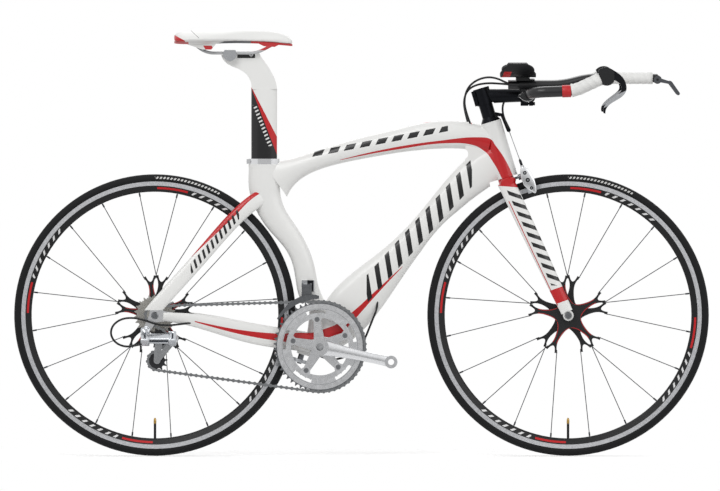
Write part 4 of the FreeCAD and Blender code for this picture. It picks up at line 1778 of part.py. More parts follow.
def main():
    os.makedirs("parts", exist_ok=True)
    for name, shape in build().items():
        shape.exportStep("parts/" + name + ".step")


main()
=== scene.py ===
import math

import bmesh
import bpy
from bpy.props import FloatProperty, FloatVectorProperty, IntProperty, PointerProperty
from mathutils import Matrix, Vector


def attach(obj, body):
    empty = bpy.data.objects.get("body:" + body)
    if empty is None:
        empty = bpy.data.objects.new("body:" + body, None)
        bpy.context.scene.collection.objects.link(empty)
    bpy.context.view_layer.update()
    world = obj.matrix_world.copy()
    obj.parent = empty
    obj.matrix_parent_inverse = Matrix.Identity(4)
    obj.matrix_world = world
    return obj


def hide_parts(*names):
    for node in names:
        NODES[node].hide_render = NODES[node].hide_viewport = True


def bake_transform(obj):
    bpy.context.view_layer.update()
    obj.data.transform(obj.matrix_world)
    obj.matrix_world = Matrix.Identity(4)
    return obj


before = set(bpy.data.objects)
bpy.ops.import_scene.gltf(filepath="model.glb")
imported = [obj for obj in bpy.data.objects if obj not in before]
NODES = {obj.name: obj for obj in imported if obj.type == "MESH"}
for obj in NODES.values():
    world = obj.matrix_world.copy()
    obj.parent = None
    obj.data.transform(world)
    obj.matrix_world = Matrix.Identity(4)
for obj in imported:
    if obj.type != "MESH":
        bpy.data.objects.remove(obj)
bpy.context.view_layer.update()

bl_info = {
    "name": "Time trial bicycle",
    "version": (1, 0, 0),
    "blender": (4, 5, 0),
    "location": "View3D > Sidebar > Bicycle",
    "description": "Paints the bicycle's nodes and adds its tape, pads, saddle, cables and trim",
    "category": "Object",
}

# Places and directions, in metres
WHEELBASE = 0.980
TYRE_RADIUS = 0.334
FRONT_AXLE = Vector((WHEELBASE / 2, 0.0, TYRE_RADIUS))
REAR_AXLE = Vector((-WHEELBASE / 2, 0.0, TYRE_RADIUS))
BOTTOM_BRACKET = Vector((-0.0987, 0.0, 0.260))
STEER_UP = Vector((-0.28736, 0.0, 0.95782))

# Bands of the wheels, as radii from the axle, then the rim's radius and depth and the valve's length
TYRE_LABEL = (0.3235, 0.3285)
BRAKE_PADS = (0.300, 0.3195)
BRAKE_TRACK = 0.3072
RIM_STROKES = (0.2975, 0.3050)
RIM_FLASH = (0.2990, 0.3040)
RIM_RADIUS = 0.317
RIM_DEPTH = 0.0245
VALVE_LENGTH = 0.034

# Taped parts of the bars: how far out and how high they are, and the radii below and above the tape
ARM_SIDE = 0.200
EXTENSION_SIDE = 0.055
EXTENSION_HEIGHT = 0.896
ARM_RADII = (0.0130, 0.0161)
EXTENSION_RADII = (0.0111, 0.0142)

# A lapped turn of tape: where its edge rises, is full and ends, its rounding, and its slant in radians
LAP_RISE = 0.0004
LAP_CROWN = 0.0016
LAP_END = 0.0003
LAP_ROUNDING = 0.0002
LAP_SLANT = 0.30

# Padded pieces: the height above a flat underside where the swelling is full, the smoothing passes,
# and the pressure and frames of the cloth that swells
PAD_FADE = 0.012
PAD_PASSES = 3
SWELL_PRESSURE = 3.0
SWELL_FRAMES = 12

# The picture: its width at the bicycle, the lamps' aim, the camera's aim and rise, and its sensor in mm
PICTURE_WIDTH = 1.708
LAMP_AIM = Vector((0, 0, 0.5))
CAMERA_AIM = Vector((-0.0036, 0.0, 0.499))
CAMERA_RISE = math.radians(1.0)
SENSOR_WIDTH = 36.0

# Upper and lower edges, as (x, z), of the red flash from the chain stay to the down tube
LOW_FLASH = ([(-0.395, 0.3215), (-0.203, 0.291), (-0.150, 0.2925), (-0.116, 0.293), (-0.094, 0.2995),
              (-0.060, 0.3125), (-0.026, 0.338), (0.035, 0.393), (0.097, 0.450)],
             [(-0.395, 0.319), (-0.203, 0.274), (-0.150, 0.2705), (-0.116, 0.277), (-0.094, 0.283),
              (-0.060, 0.281), (-0.026, 0.314), (0.035, 0.382), (0.097, 0.4485)])


def srgb(code):
    """The linear colour of a six-figure sRGB code."""
    parts = [int(code[i:i + 2], 16) / 255 for i in (0, 2, 4)]
    return tuple(p / 12.92 if p <= 0.04045 else ((p + 0.055) / 1.055) ** 2.4 for p in parts)


class BicyclePaint(bpy.types.PropertyGroup):
    """Colours of the bicycle"""
    white: FloatVectorProperty(name="White", description="Lacquer of the frame, fork and post",
                               subtype="COLOR", size=3, min=0, max=1, default=srgb("F2F2F0"))
    red: FloatVectorProperty(name="Red", description="Flashes and trim",
                             subtype="COLOR", size=3, min=0, max=1, default=srgb("C4161C"))
    black: FloatVectorProperty(name="Black", description="Tyres, rims, brake pads and printed strokes",
                               subtype="COLOR", size=3, min=0, max=1, default=srgb("0D0E10"))
    silver: FloatVectorProperty(name="Silver", description="Polished alloy",
                                subtype="COLOR", size=3, min=0, max=1, default=srgb("D8D9DB"))


class BicycleSizes(bpy.types.PropertyGroup):
    """Sizes of the pieces that the scene adds"""
    tape_pitch: FloatProperty(name="Tape pitch", description="Distance between two turns of bar tape",
                              subtype="DISTANCE", unit="LENGTH", default=0.0145)
    tape_step: FloatProperty(name="Tape step", description="Height of a turn's lapped edge",
                             subtype="DISTANCE", unit="LENGTH", default=0.0008)
    housing: FloatProperty(name="Housing diameter", description="Outside diameter of the cable housings",
                           subtype="DISTANCE", unit="LENGTH", default=0.005)
    wire: FloatProperty(name="Wire diameter", description="Diameter of the bare brake wire",
                        subtype="DISTANCE", unit="LENGTH", default=0.0018)
    pad_swell: FloatProperty(name="Pad swell", description="Most that a padded surface may rise",
                             subtype="DISTANCE", unit="LENGTH", default=0.0025)
    forging_voxel: FloatProperty(name="Forging mesh", description="Mesh width of the derailleur's forgings",
                                 subtype="DISTANCE", unit="LENGTH", default=0.0008)
    forging_passes: IntProperty(name="Forging rounding", description="Smoothing passes on a forging's edges",
                                default=40, min=0)
    camera_distance: FloatProperty(name="Camera distance", description="From the camera to the bicycle",
                                   subtype="DISTANCE", unit="LENGTH", default=45.0)
    ring_segments: IntProperty(name="Ring segments", description="Corners of a turned ring",
                               default=40, min=8)


def paint():
    """The colours that the panel shows."""
    return bpy.context.scene.bicycle_paint


def sizes():
    """The sizes that the panel shows."""
    return bpy.context.scene.bicycle_sizes


class Finish:
    """One material and the node links that make it."""

    def __init__(self, name, colour, roughness, metallic=0.0):
        self.material = bpy.data.materials.new(name)
        self.material.use_nodes = True
        self.tree = self.material.node_tree
        self.shader = self.tree.nodes["Principled BSDF"]
        self.shader.inputs["Roughness"].default_value = roughness
        self.shader.inputs["Metallic"].default_value = metallic
        self.shader.inputs["Base Color"].default_value = (*colour, 1)
        self.colour = None
        self.plain = colour
        place = self.tree.nodes.new("ShaderNodeTexCoord")
        self.place = place.outputs["Object"]
        split = self.node("ShaderNodeSeparateXYZ", {0: self.place})
        self.x, self.y, self.z = split.outputs

    def node(self, kind, inputs=None, **settings):
        """Adds a node with its settings, and feeds its inputs."""
        made = self.tree.nodes.new(kind)
        for key, value in settings.items():
            setattr(made, key, value)
        for key, value in (inputs or {}).items():
            self.feed(made.inputs[key], value)
        return made

    def feed(self, socket, value):
        """Links an input to another socket, or sets its value."""
        if isinstance(value, bpy.types.NodeSocket):
            self.tree.links.new(value, socket)
        else:
            socket.default_value = value

    def sum(self, operation, first, second=0.0, third=0.0):
        """One step of arithmetic on sockets or numbers."""
        return self.node("ShaderNodeMath", {0: first, 1: second, 2: third}, operation=operation).outputs[0]

    def both(self, first, *others):
        """The product, which for masks is 1 where all of them are."""
        for other in others:
            first = self.sum("MULTIPLY", first, other)
        return first

    def above(self, value, limit):
        return self.sum("GREATER_THAN", value, limit)

    def below(self, value, limit):
        return self.sum("LESS_THAN", value, limit)

    def inside(self, value, low, high):
        return self.both(self.above(value, low), self.below(value, high))

    def line(self, x_factor, z_factor, offset=0.0):
        """x_factor * x + z_factor * z + offset, in metres."""
        return self.sum("ADD", self.sum("MULTIPLY", self.x, x_factor),
                        self.sum("MULTIPLY_ADD", self.z, z_factor, offset))

    def beyond(self, direction, point):
        """How far past a point along a direction, both as (x, z), times the direction's length."""
        across, up = direction
        x, z = point
        return self.line(across, up, -(across * x + up * z))

    def curve(self, along, points, low, high):
        """The height, between low and high, of a curve of (along, height) points."""
        start, end = points[0][0], points[-1][0]
        share = self.node("ShaderNodeMapRange", {0: along, 1: start, 2: end, 3: 0.0, 4: 1.0})
        bent = self.node("ShaderNodeFloatCurve", {1: share.outputs[0]})
        spots = bent.mapping.curves[0].points
        while len(spots) < len(points):
            spots.new(0.5, 0.5)
        for spot, (place, height) in zip(spots, points):
            spot.location = ((place - start) / (end - start), (height - low) / (high - low))
        bent.mapping.update()
        return self.sum("MULTIPLY_ADD", bent.outputs[0], high - low, low)

    def band(self, upper, lower):
        """1 between two curves of (x, z) points, in metres, that share their first and last x."""
        heights = [z for x, z in upper + lower]
        margin = 0.02
        low, high = min(heights) - margin, max(heights) + margin
        over = self.sum("LESS_THAN", self.z, self.curve(self.x, upper, low, high))
        under = self.sum("GREATER_THAN", self.z, self.curve(self.x, lower, low, high))
        return self.both(over, under, self.inside(self.x, upper[0][0], upper[-1][0]))

    def bars(self, along, pitch, share):
        """Repeated bars: 1 on the first share of each pitch."""
        return self.below(self.sum("FRACT", self.sum("DIVIDE", along, pitch)), share)

    def strokes(self, colour, across, width, along, reach, slant, pitch, share):
        """Paints a row of bars that lean by the slant, within a width and a reach."""
        row = self.both(self.inside(across, *width), self.inside(along, *reach),
                        self.bars(slant, pitch, share))
        self.layer(row, colour)

    def layer(self, mask, colour):
        """Paints a colour over what is there, where the mask is 1."""
        mix = self.node("ShaderNodeMix", data_type="RGBA")
        under, over = [socket for socket in mix.inputs if socket.type == "RGBA"]
        self.feed(mix.inputs[0], mask)
        if self.colour is None:
            under.default_value = (*self.plain, 1)
        else:
            self.tree.links.new(self.colour, under)
        over.default_value = (*colour, 1)
        self.colour = [socket for socket in mix.outputs if socket.type == "RGBA"][0]
        self.tree.links.new(self.colour, self.shader.inputs["Base Color"])

    def noise(self, size_mm, detail=3.0):
        """Noise whose cells are about this wide."""
        inputs = {"Vector": self.place, "Scale": 1000 / size_mm, "Detail": detail}
        return self.node("ShaderNodeTexNoise", inputs).outputs[0]

    def tint(self, size_mm, strength):
        """A faint darkening in patches, so that the colour isn't flat."""
        shade = 0.55
        patch = self.sum("MULTIPLY", self.noise(size_mm), strength)
        self.layer(patch, tuple(c * shade for c in self.plain))

    def rough(self, size_mm, low, high):
        """Roughness that wanders between two levels, as the noise goes over the middle of its range."""
        middle = (0.3, 0.7)
        inputs = {0: self.noise(size_mm, 4.0), 1: middle[0], 2: middle[1], 3: low, 4: high}
        ramp = self.node("ShaderNodeMapRange", inputs)
        self.tree.links.new(ramp.outputs[0], self.shader.inputs["Roughness"])

    def bump(self, height, depth_mm, strength):
        """Relief of this depth, over any relief that is there."""
        inputs = {"Height": height, "Strength": strength, "Distance": depth_mm / 1000}
        made = self.node("ShaderNodeBump", inputs)
        if self.shader.inputs["Normal"].is_linked:
            self.tree.links.new(self.shader.inputs["Normal"].links[0].from_socket, made.inputs["Normal"])
        self.tree.links.new(made.outputs[0], self.shader.inputs["Normal"])

    def dull(self, level):
        """Less shine than the shader's own 0.5."""
        self.shader.inputs["Specular IOR Level"].default_value = level

    def coat(self, weight, roughness):
        """A clear coat on top."""
        self.shader.inputs["Coat Weight"].default_value = weight
        self.shader.inputs["Coat Roughness"].default_value = roughness

    def glow(self, strength):
        """White light of its own."""
        self.shader.inputs["Emission Color"].default_value = (1, 1, 1, 1)
        self.feed(self.shader.inputs["Emission Strength"], strength)

    def offsets(self, centre):
        """Distances ahead of a centre and above it."""
        return self.sum("SUBTRACT", self.x, centre.x), self.sum("SUBTRACT", self.z, centre.z)

    def radius(self, centre):
        """Distance from an axis that runs across the bicycle."""
        ahead, rise = self.offsets(centre)
        return self.sum("SQRT", self.sum("ADD", self.both(ahead, ahead), self.both(rise, rise)))

    def bearing(self, centre):
        """Angle round an axis that runs across the bicycle, in radians."""
        ahead, rise = self.offsets(centre)
        return self.sum("ARCTAN2", rise, ahead)


def cover(mesh, finish):
    """Gives a mesh one finish."""
    mesh.materials.clear()
    mesh.materials.append(finish.material)


def cover_smoothly(mesh, finish):
    """Gives a new mesh one finish and smooth shading."""
    cover(mesh, finish)
    for face in mesh.polygons:
        face.use_smooth = True


def dress(finish, *names):
    """Gives CAD nodes a finish."""
    for name in names:
        cover(NODES[name].data, finish)


def new_piece(name, mesh, finish, body):
    """A finished piece on its body, or on none yet."""
    piece = bpy.data.objects.new(name, mesh)
    bpy.context.scene.collection.objects.link(piece)
    cover_smoothly(mesh, finish)
    if body:
        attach(piece, body)
    return piece


def mesh_from(bm, name):
    """Closes a bmesh into a mesh with its faces outwards."""
    bmesh.ops.remove_doubles(bm, verts=bm.verts, dist=1e-6)
    bmesh.ops.recalc_face_normals(bm, faces=bm.faces)
    mesh = bpy.data.meshes.new(name)
    bm.to_mesh(mesh)
    bm.free()
    return mesh


def turned(name, profile, place):
    """A lathe shape: (height, radius) points spun about the place's Z axis."""
    bm = bmesh.new()
    corners = [bm.verts.new((r, 0, h)) for h, r in profile]
    edges = [bm.edges.new(pair) for pair in zip(corners, corners[1:])]
    bmesh.ops.spin(bm, geom=corners + edges, cent=(0, 0, 0), axis=(0, 0, 1), angle=2 * math.pi,
                   steps=sizes().ring_segments, use_merge=True)
    bmesh.ops.transform(bm, matrix=place, verts=bm.verts)
    return mesh_from(bm, name)


def pointing(place, direction):
    """A placement at a point whose Z axis points along a direction."""
    return Matrix.Translation(place) @ Vector(direction).to_track_quat("Z", "Y").to_matrix().to_4x4()


def spline(name, points):
    """A smooth open curve with these control points."""
    data = bpy.data.curves.new(name, "CURVE")
    data.dimensions = "3D"
    data.resolution_u = 12
    line = data.splines.new("NURBS")
    line.points.add(len(points) - 1)
    for spot, place in zip(line.points, points):
        spot.co = (*place, 1)
    line.order_u = 3
    line.use_endpoint_u = True
    return data


def curve_mesh(data):
    """The mesh that a curve makes."""
    holder = bpy.data.objects.new(data.name, data)
    mesh = bpy.data.meshes.new_from_object(holder)
    bpy.data.objects.remove(holder)
    return mesh


def read_line(data):
    """The points along a curve with no bevel."""
    mesh = curve_mesh(data)
    points = [v.co.copy() for v in mesh.vertices]
    bpy.data.meshes.remove(mesh)
    return points


# Finishes

def lacquer(name):
    """White gloss lacquer with a fine orange-peel surface."""
    finish = Finish(name, tuple(paint().white), 0.3)
    finish.tint(60, 0.05)
    finish.dull(0.3)
    finish.coat(0.3, 0.06)
    finish.bump(finish.noise(2.2, 1.0), 0.02, 0.35)
    return finish


def carbon(name):
    """Black carbon cloth under satin lacquer, woven slantwise in tows 1.4 mm wide."""
    finish = Finish(name, srgb("101113"), 0.35)
    two_tows = 0.004
    first = finish.bars(finish.line(1.0, 1.0), two_tows, 0.5)
    second = finish.bars(finish.line(1.0, -1.0), two_tows, 0.5)
    weave = finish.sum("ABSOLUTE", finish.sum("SUBTRACT", first, second))
    finish.layer(finish.sum("MULTIPLY", weave, 0.5), srgb("1C1D20"))
    finish.dull(0.3)
    finish.coat(0.3, 0.12)
    finish.bump(weave, 0.03, 0.25)
    return finish


def alloy(name, colour, low, high):
    """Metal with a soft sheen and fine handling marks, whose roughness lies between low and high."""
    finish = Finish(name, colour, low, metallic=1.0)
    finish.tint(22, 0.10)
    finish.rough(9.0, low, high)
    finish.bump(finish.noise(0.5, 2.0), 0.002, 0.1)
    return finish


def moulded(name, code, roughness):
    """Moulded plastic with a spark-eroded grain."""
    finish = Finish(name, srgb(code), roughness)
    finish.dull(0.3)
    finish.tint(12, 0.3)
    finish.bump(finish.noise(0.6, 2.0), 0.05, 0.4)
    return finish


def rubber(name):
    """Vulcanised tyre rubber: deep black and matt, with a fine grain from its mould."""
    finish = Finish(name, tuple(paint().black), 0.72)
    finish.dull(0.25)
    finish.tint(9, 0.35)
    finish.bump(finish.noise(0.8, 3.0), 0.06, 0.5)
    return finish


def background_rays(tree):
    """1 for the rays that show the background: the camera's, and those by way of metal or glass."""
    path = tree.nodes.new("ShaderNodeLightPath")
    seen = path.outputs["Is Camera Ray"]
    for ray in ("Is Glossy Ray", "Is Transmission Ray"):
        either = tree.nodes.new("ShaderNodeMath")
        either.operation = "MAXIMUM"
        tree.links.new(seen, either.inputs[0])
        tree.links.new(path.outputs[ray], either.inputs[1])
        seen = either.outputs[0]
    return seen


def board(name, half_length, half_width, tilt, place):
    """A flat rectangle, tilted about X by some degrees and moved to its place."""
    bm = bmesh.new()
    bmesh.ops.create_grid(bm, x_segments=1, y_segments=1, size=1.0)
    bmesh.ops.scale(bm, verts=bm.verts, vec=(half_length, half_width, 1.0))
    turn = Matrix.Rotation(math.radians(tilt), 3, "X")
    bmesh.ops.rotate(bm, verts=bm.verts, cent=(0, 0, 0), matrix=turn)
    bmesh.ops.translate(bm, verts=bm.verts, vec=place)
    mesh = bpy.data.meshes.new(name)
    bm.to_mesh(mesh)
    bm.free()
    made = bpy.data.objects.new(name, mesh)
    bpy.context.scene.collection.objects.link(made)
    return made


class BICYCLE_OT_stage(bpy.types.Operator):
    """Floor, soft lights, white surround and camera"""
    bl_idname = "bicycle.stage"
    bl_label = "Stage"

    def execute(self, context):
        scene = context.scene
        scene.view_settings.view_transform = "Standard"
        self.surround(scene)
        self.floor()
        self.card()
        self.lamps(scene)
        self.camera(scene)
        return {"FINISHED"}

    def surround(self, scene):
        """White where it is seen, and half as bright as a light."""
        world = bpy.data.worlds.new("surround")
        scene.world = world
        world.use_nodes = True
        tree = world.node_tree
        background = tree.nodes["Background"]
        background.inputs["Color"].default_value = (1, 1, 1, 1)
        level = tree.nodes.new("ShaderNodeMapRange")
        level.inputs["To Min"].default_value = 0.50
        level.inputs["To Max"].default_value = 1.0
        tree.links.new(background_rays(tree), level.inputs["Value"])
        tree.links.new(level.outputs[0], background.inputs["Strength"])

    def lamps(self, scene):
        """Three soft boxes, each with a place, a width and a power."""
        boxes = (("key", (-1.6, -3.2, 3.6), 2.4, 74.0),
                 ("fill", (2.6, -3.0, 2.2), 2.6, 30.0),
                 ("back", (0.4, 3.0, 3.0), 3.0, 40.0))
        for name, place, size, power in boxes:
            light = bpy.data.lights.new(name, "AREA")
            light.size = size
            light.energy = power
            lamp = bpy.data.objects.new(name, light)
            lamp.location = place
            lamp.rotation_mode = "QUATERNION"
            lamp.rotation_quaternion = (LAMP_AIM - Vector(place)).to_track_quat("-Z", "Y")
            scene.collection.objects.link(lamp)

    def camera(self, scene):
        """A far camera at the bicycle's right side, a little above level."""
        distance = sizes().camera_distance
        camera = bpy.data.cameras.new("camera")
        camera.sensor_width = SENSOR_WIDTH
        camera.lens = SENSOR_WIDTH * distance / PICTURE_WIDTH
        camera.clip_end = 200.0
        holder = bpy.data.objects.new("camera", camera)
        holder.location = CAMERA_AIM + Vector((0, -math.cos(CAMERA_RISE), math.sin(CAMERA_RISE))) * distance
        holder.rotation_mode = "QUATERNION"
        holder.rotation_quaternion = (CAMERA_AIM - holder.location).to_track_quat("-Z", "Y")
        scene.collection.objects.link(holder)
        scene.camera = holder

    def floor(self):
        """Pale matt floor that keeps the shadow and goes over into the white surround."""
        grey = 0.86
        brightening = 0.30
        floor = board("floor", 1.3, 0.45, 0, (0, 0.1, -0.0005))
        finish = Finish("floor paint", (grey, grey, grey), 0.9)
        finish.glow(finish.sum("MULTIPLY", background_rays(finish.tree), brightening))
        cover(floor.data, finish)

    def card(self):
        """A grey card before the bicycle, darker below, that only reflections see, for contrast on metal."""
        card = board("card", 2.6, 1.5, 90, (0, -5.0, 0.45))
        card.visible_camera = False
        card.visible_diffuse = False
        card.visible_shadow = False
        finish = Finish("card paper", (0.0, 0.0, 0.0), 1.0)
        low, high = -0.4, 1.6
        dark, bright = 0.38, 0.90
        level = finish.node("ShaderNodeMapRange", {0: finish.z, 1: low, 2: high, 3: dark, 4: bright})
        finish.glow(level.outputs[0])
        cover(card.data, finish)


class BICYCLE_OT_frame(bpy.types.Operator):
    """Paint on the frame, stays, fork and seatpost, and the frame's bare metal"""
    bl_idname = "bicycle.frame"
    bl_label = "Frame paint"

    def execute(self, context):
        red, black = tuple(paint().red), tuple(paint().black)
        self.main_frame(red, black)
        self.stays(red, black)
        self.fork(red, black)
        self.post(red, black)
        dress(alloy("dropout alloy", tuple(paint().silver), 0.12, 0.25), "rear_dropouts")
        dress(alloy("collar alloy", tuple(paint().silver), 0.08, 0.18), "seat_collar")
        dress(alloy("bracket alloy", srgb("3A3B3E"), 0.25, 0.4), "bottom_bracket")
        dress(alloy("bearing steel", srgb("6F7174"), 0.2, 0.3), "headset_bearings")
        return {"FINISHED"}

    def main_frame(self, red, black):
        """Three red flashes, and strokes along the down tube and the top tube."""
        finish = lacquer("frame lacquer")
        head_flash = ([(-0.051, 0.7025), (0.068, 0.730), (0.186, 0.748), (0.281, 0.756), (0.303, 0.753),
                       (0.318, 0.736), (0.343, 0.699), (0.362, 0.655)],
                      [(-0.051, 0.7015), (0.091, 0.728), (0.210, 0.742), (0.262, 0.738), (0.290, 0.724),
                       (0.312, 0.697), (0.333, 0.658), (0.362, 0.600)])
        top_flash = ([(0.100, 0.785), (0.151, 0.7935), (0.227, 0.808), (0.262, 0.792)],
                     [(0.100, 0.7835), (0.151, 0.790), (0.227, 0.801), (0.262, 0.786)])
        for edges in (head_flash, top_flash, LOW_FLASH):
            finish.layer(finish.band(*edges), red)
        finish.strokes(black, across=finish.beyond((-0.743, 0.669), (0.145, 0.5405)), width=(-0.021, 0.024),
                       along=finish.x, reach=(0.012, 0.262),
                       slant=finish.line(1.0, 0.16, 0.012), pitch=0.0285, share=0.42)
        finish.strokes(black, across=finish.line(-0.19, 1.0, -0.732), width=(-0.0005, 0.0125),
                       along=finish.x, reach=(-0.120, 0.205),
                       slant=finish.line(1.0, -0.5, 0.2), pitch=0.034, share=0.62)
        dress(finish, "main_frame")

    def stays(self, red, black):
        """A red flash on the seat stays and one on the chain stays, and strokes on the seat stays."""
        finish = lacquer("stay lacquer")
        stay_flash = ([(-0.410, 0.474), (-0.324, 0.573), (-0.267, 0.629), (-0.240, 0.6345), (-0.181, 0.642)],
                      [(-0.410, 0.466), (-0.307, 0.563), (-0.250, 0.617), (-0.230, 0.626), (-0.181, 0.638)])
        for edges in (stay_flash, LOW_FLASH):
            finish.layer(finish.band(*edges), red)
        finish.strokes(black, across=finish.beyond((-0.755, 0.656), (-0.345, 0.520)), width=(-0.014, 0.004),
                       along=finish.x, reach=(-0.405, -0.290),
                       slant=finish.line(1.0, 0.3, 0.3), pitch=0.0135, share=0.45)
        dress(finish, "rear_stays")

    def fork(self, red, black):
        """Red bands at the crown and the foot, a thin red line along each edge, and strokes between."""
        finish = lacquer("fork lacquer")
        crown = finish.inside(finish.line(0.08, 1.0), 0.667, 0.700)
        foot = finish.inside(finish.line(-0.35, 1.0), 0.200, 0.2365)
        height = finish.beyond((STEER_UP.x, STEER_UP.z), (0.4479, 0.3214))
        ahead = finish.beyond((0.905, 0.425), (0.4085, 0.524))
        rear_line = finish.both(finish.inside(ahead, -0.0205, -0.0185), finish.inside(height, 0.03, 0.30))
        front_line = finish.both(finish.inside(ahead, 0.0165, 0.019), finish.inside(height, 0.03, 0.33))
        for mask in (crown, foot, rear_line, front_line):
            finish.layer(mask, red)
        finish.strokes(black, across=ahead, width=(-0.013, 0.012), along=finish.z, reach=(0.405, 0.632),
                       slant=finish.line(0.34, 1.0), pitch=0.0205, share=0.46)
        dress(finish, "fork")

    def post(self, red, black):
        """A black panel with a red edge and pale strokes low down, the clamp's slot painted black as shade,
        and its bolt.
        """
        finish = lacquer("post lacquer")
        low = finish.below(finish.z, 0.875)
        finish.layer(finish.both(finish.below(finish.line(1.95, 1.0, 0.509), 0.875), low), red)
        finish.layer(finish.both(finish.below(finish.line(2.60, 1.0, 0.679), 0.872), low), black)
        # Painted shade: the clamp's slot painted black, where its gap lies in shade
        plate = finish.both(finish.inside(finish.x, -0.2946, -0.2522),
                            finish.inside(finish.z, 0.9436, 0.9604))
        finish.layer(plate, black)
        bolt = finish.radius(Vector((-0.2617, 0.0, 0.952)))
        finish.layer(finish.inside(bolt, 0.0018, 0.0046), srgb("C9CACC"))
        finish.strokes(srgb("E8E8E6"), across=finish.line(2.60, 1.0, 0.679 - 0.872), width=(-0.033, -0.008),
                       along=finish.z, reach=(0.735, 0.832),
                       slant=finish.line(-0.5, 1.0), pitch=0.0098, share=0.4)
        dress(finish, "seatpost")


class BICYCLE_OT_wheels(bpy.types.Operator):
    """Tyres, rims, spokes, star hubs, axles and levers"""
    bl_idname = "bicycle.wheels"
    bl_label = "Wheels"

    def execute(self, context):
        for side, centre, turn in (("front", FRONT_AXLE, 28.0), ("rear", REAR_AXLE, 25.4)):
            self.tyre(side, centre)
            self.rim(side, centre)
            self.hub(side, centre, turn)
            dress(alloy(side + " spoke steel", srgb("3F4144"), 0.25, 0.4), side + "_spokes")
            dress(alloy(side + " axle steel", srgb("77797C"), 0.2, 0.35), side + "_axle")
            dress(alloy(side + " lever alloy", srgb("BFC1C3"), 0.14, 0.28), side + "_release_lever")
        return {"FINISHED"}

    def window(self, finish, angle, phase, spread):
        """1 on an arc of each quarter turn, with its phase and half its spread in degrees."""
        swing = finish.sum("PINGPONG", finish.sum("ADD", angle, math.radians(phase)), math.radians(45))
        return finish.below(swing, math.radians(spread))

    def tyre(self, side, centre):
        """A label of slanted bars at the top, and tread grooves on both shoulders."""
        finish = rubber(side + " tyre rubber")
        length = finish.radius(centre)
        angle = finish.bearing(centre)
        slant = finish.sum("ADD", finish.sum("MULTIPLY", angle, 0.33), finish.sum("MULTIPLY", length, 0.6))
        label = finish.both(self.window(finish, angle, -76, 14), finish.inside(length, *TYRE_LABEL),
                            finish.bars(slant, 0.0085, 0.55), finish.above(finish.z, 0.60))
        finish.layer(label, srgb("D8D8D6"))
        shoulder = finish.inside(finish.sum("ABSOLUTE", finish.y), 0.0052, 0.0060)
        grooves = finish.bars(finish.sum("MULTIPLY", angle, TYRE_RADIUS), 0.0045, 0.35)
        finish.bump(finish.sum("SUBTRACT", 1.0, finish.both(grooves, shoulder)), 0.3, 0.6)
        dress(finish, side + "_tyre_and_tube")

    def rim(self, side, centre):
        """Black anodised rim with a bright brake track, turned in fine rings that are drawn 0.7 mm apart."""
        finish = Finish(side + " rim alloy", tuple(paint().black), 0.3)
        finish.dull(0.3)
        finish.tint(10, 0.25)
        length = finish.radius(centre)
        angle = finish.bearing(centre)
        slant = finish.sum("ADD", finish.sum("MULTIPLY", angle, 0.30), length)
        zone = finish.both(self.window(finish, angle, -60, 13), finish.inside(length, *RIM_STROKES))
        finish.layer(finish.both(zone, finish.bars(slant, 0.0205, 0.32)), srgb("E6E6E6"))
        flash = finish.both(self.window(finish, angle, -82, 7), finish.inside(length, *RIM_FLASH))
        finish.layer(flash, tuple(paint().red))
        track = finish.above(length, BRAKE_TRACK)
        finish.layer(track, srgb("C4C5C8"))
        metal = finish.node("ShaderNodeMapRange", {0: track, 3: 0.0, 4: 0.9})
        finish.tree.links.new(metal.outputs[0], finish.shader.inputs["Metallic"])
        rings = finish.bars(length, 0.0007, 0.5)
        finish.bump(finish.both(rings, track), 0.02, 0.5)
        finish.rough(4.0, 0.26, 0.42)
        dress(finish, side + "_rim")

    def hub(self, side, centre, turn):
        """Red lines inside the edges of the star's five arms, on the right side."""
        finish = carbon(side + " hub carbon")
        length = finish.radius(centre)
        angle = finish.bearing(centre)
        half_arm = math.radians(36)
        swing = finish.sum("PINGPONG", finish.sum("SUBTRACT", angle, math.radians(turn)), half_arm)
        forward = finish.both(length, finish.sum("COSINE", swing))
        off = finish.both(length, finish.sum("SINE", swing))
        edge = [(0.025, 0.0182), (0.035, 0.0115), (0.050, 0.0070), (0.072, 0.0062)]
        half = finish.curve(forward, edge, 0.0, 0.02)
        near, far = 0.0009, 0.0024
        line = finish.both(finish.above(off, finish.sum("SUBTRACT", half, far)),
                           finish.below(off, finish.sum("SUBTRACT", half, near)),
                           finish.inside(forward, edge[0][0], edge[-1][0]), finish.below(finish.y, 0.0))
        finish.layer(line, tuple(paint().red))
        dress(finish, side + "_hub")


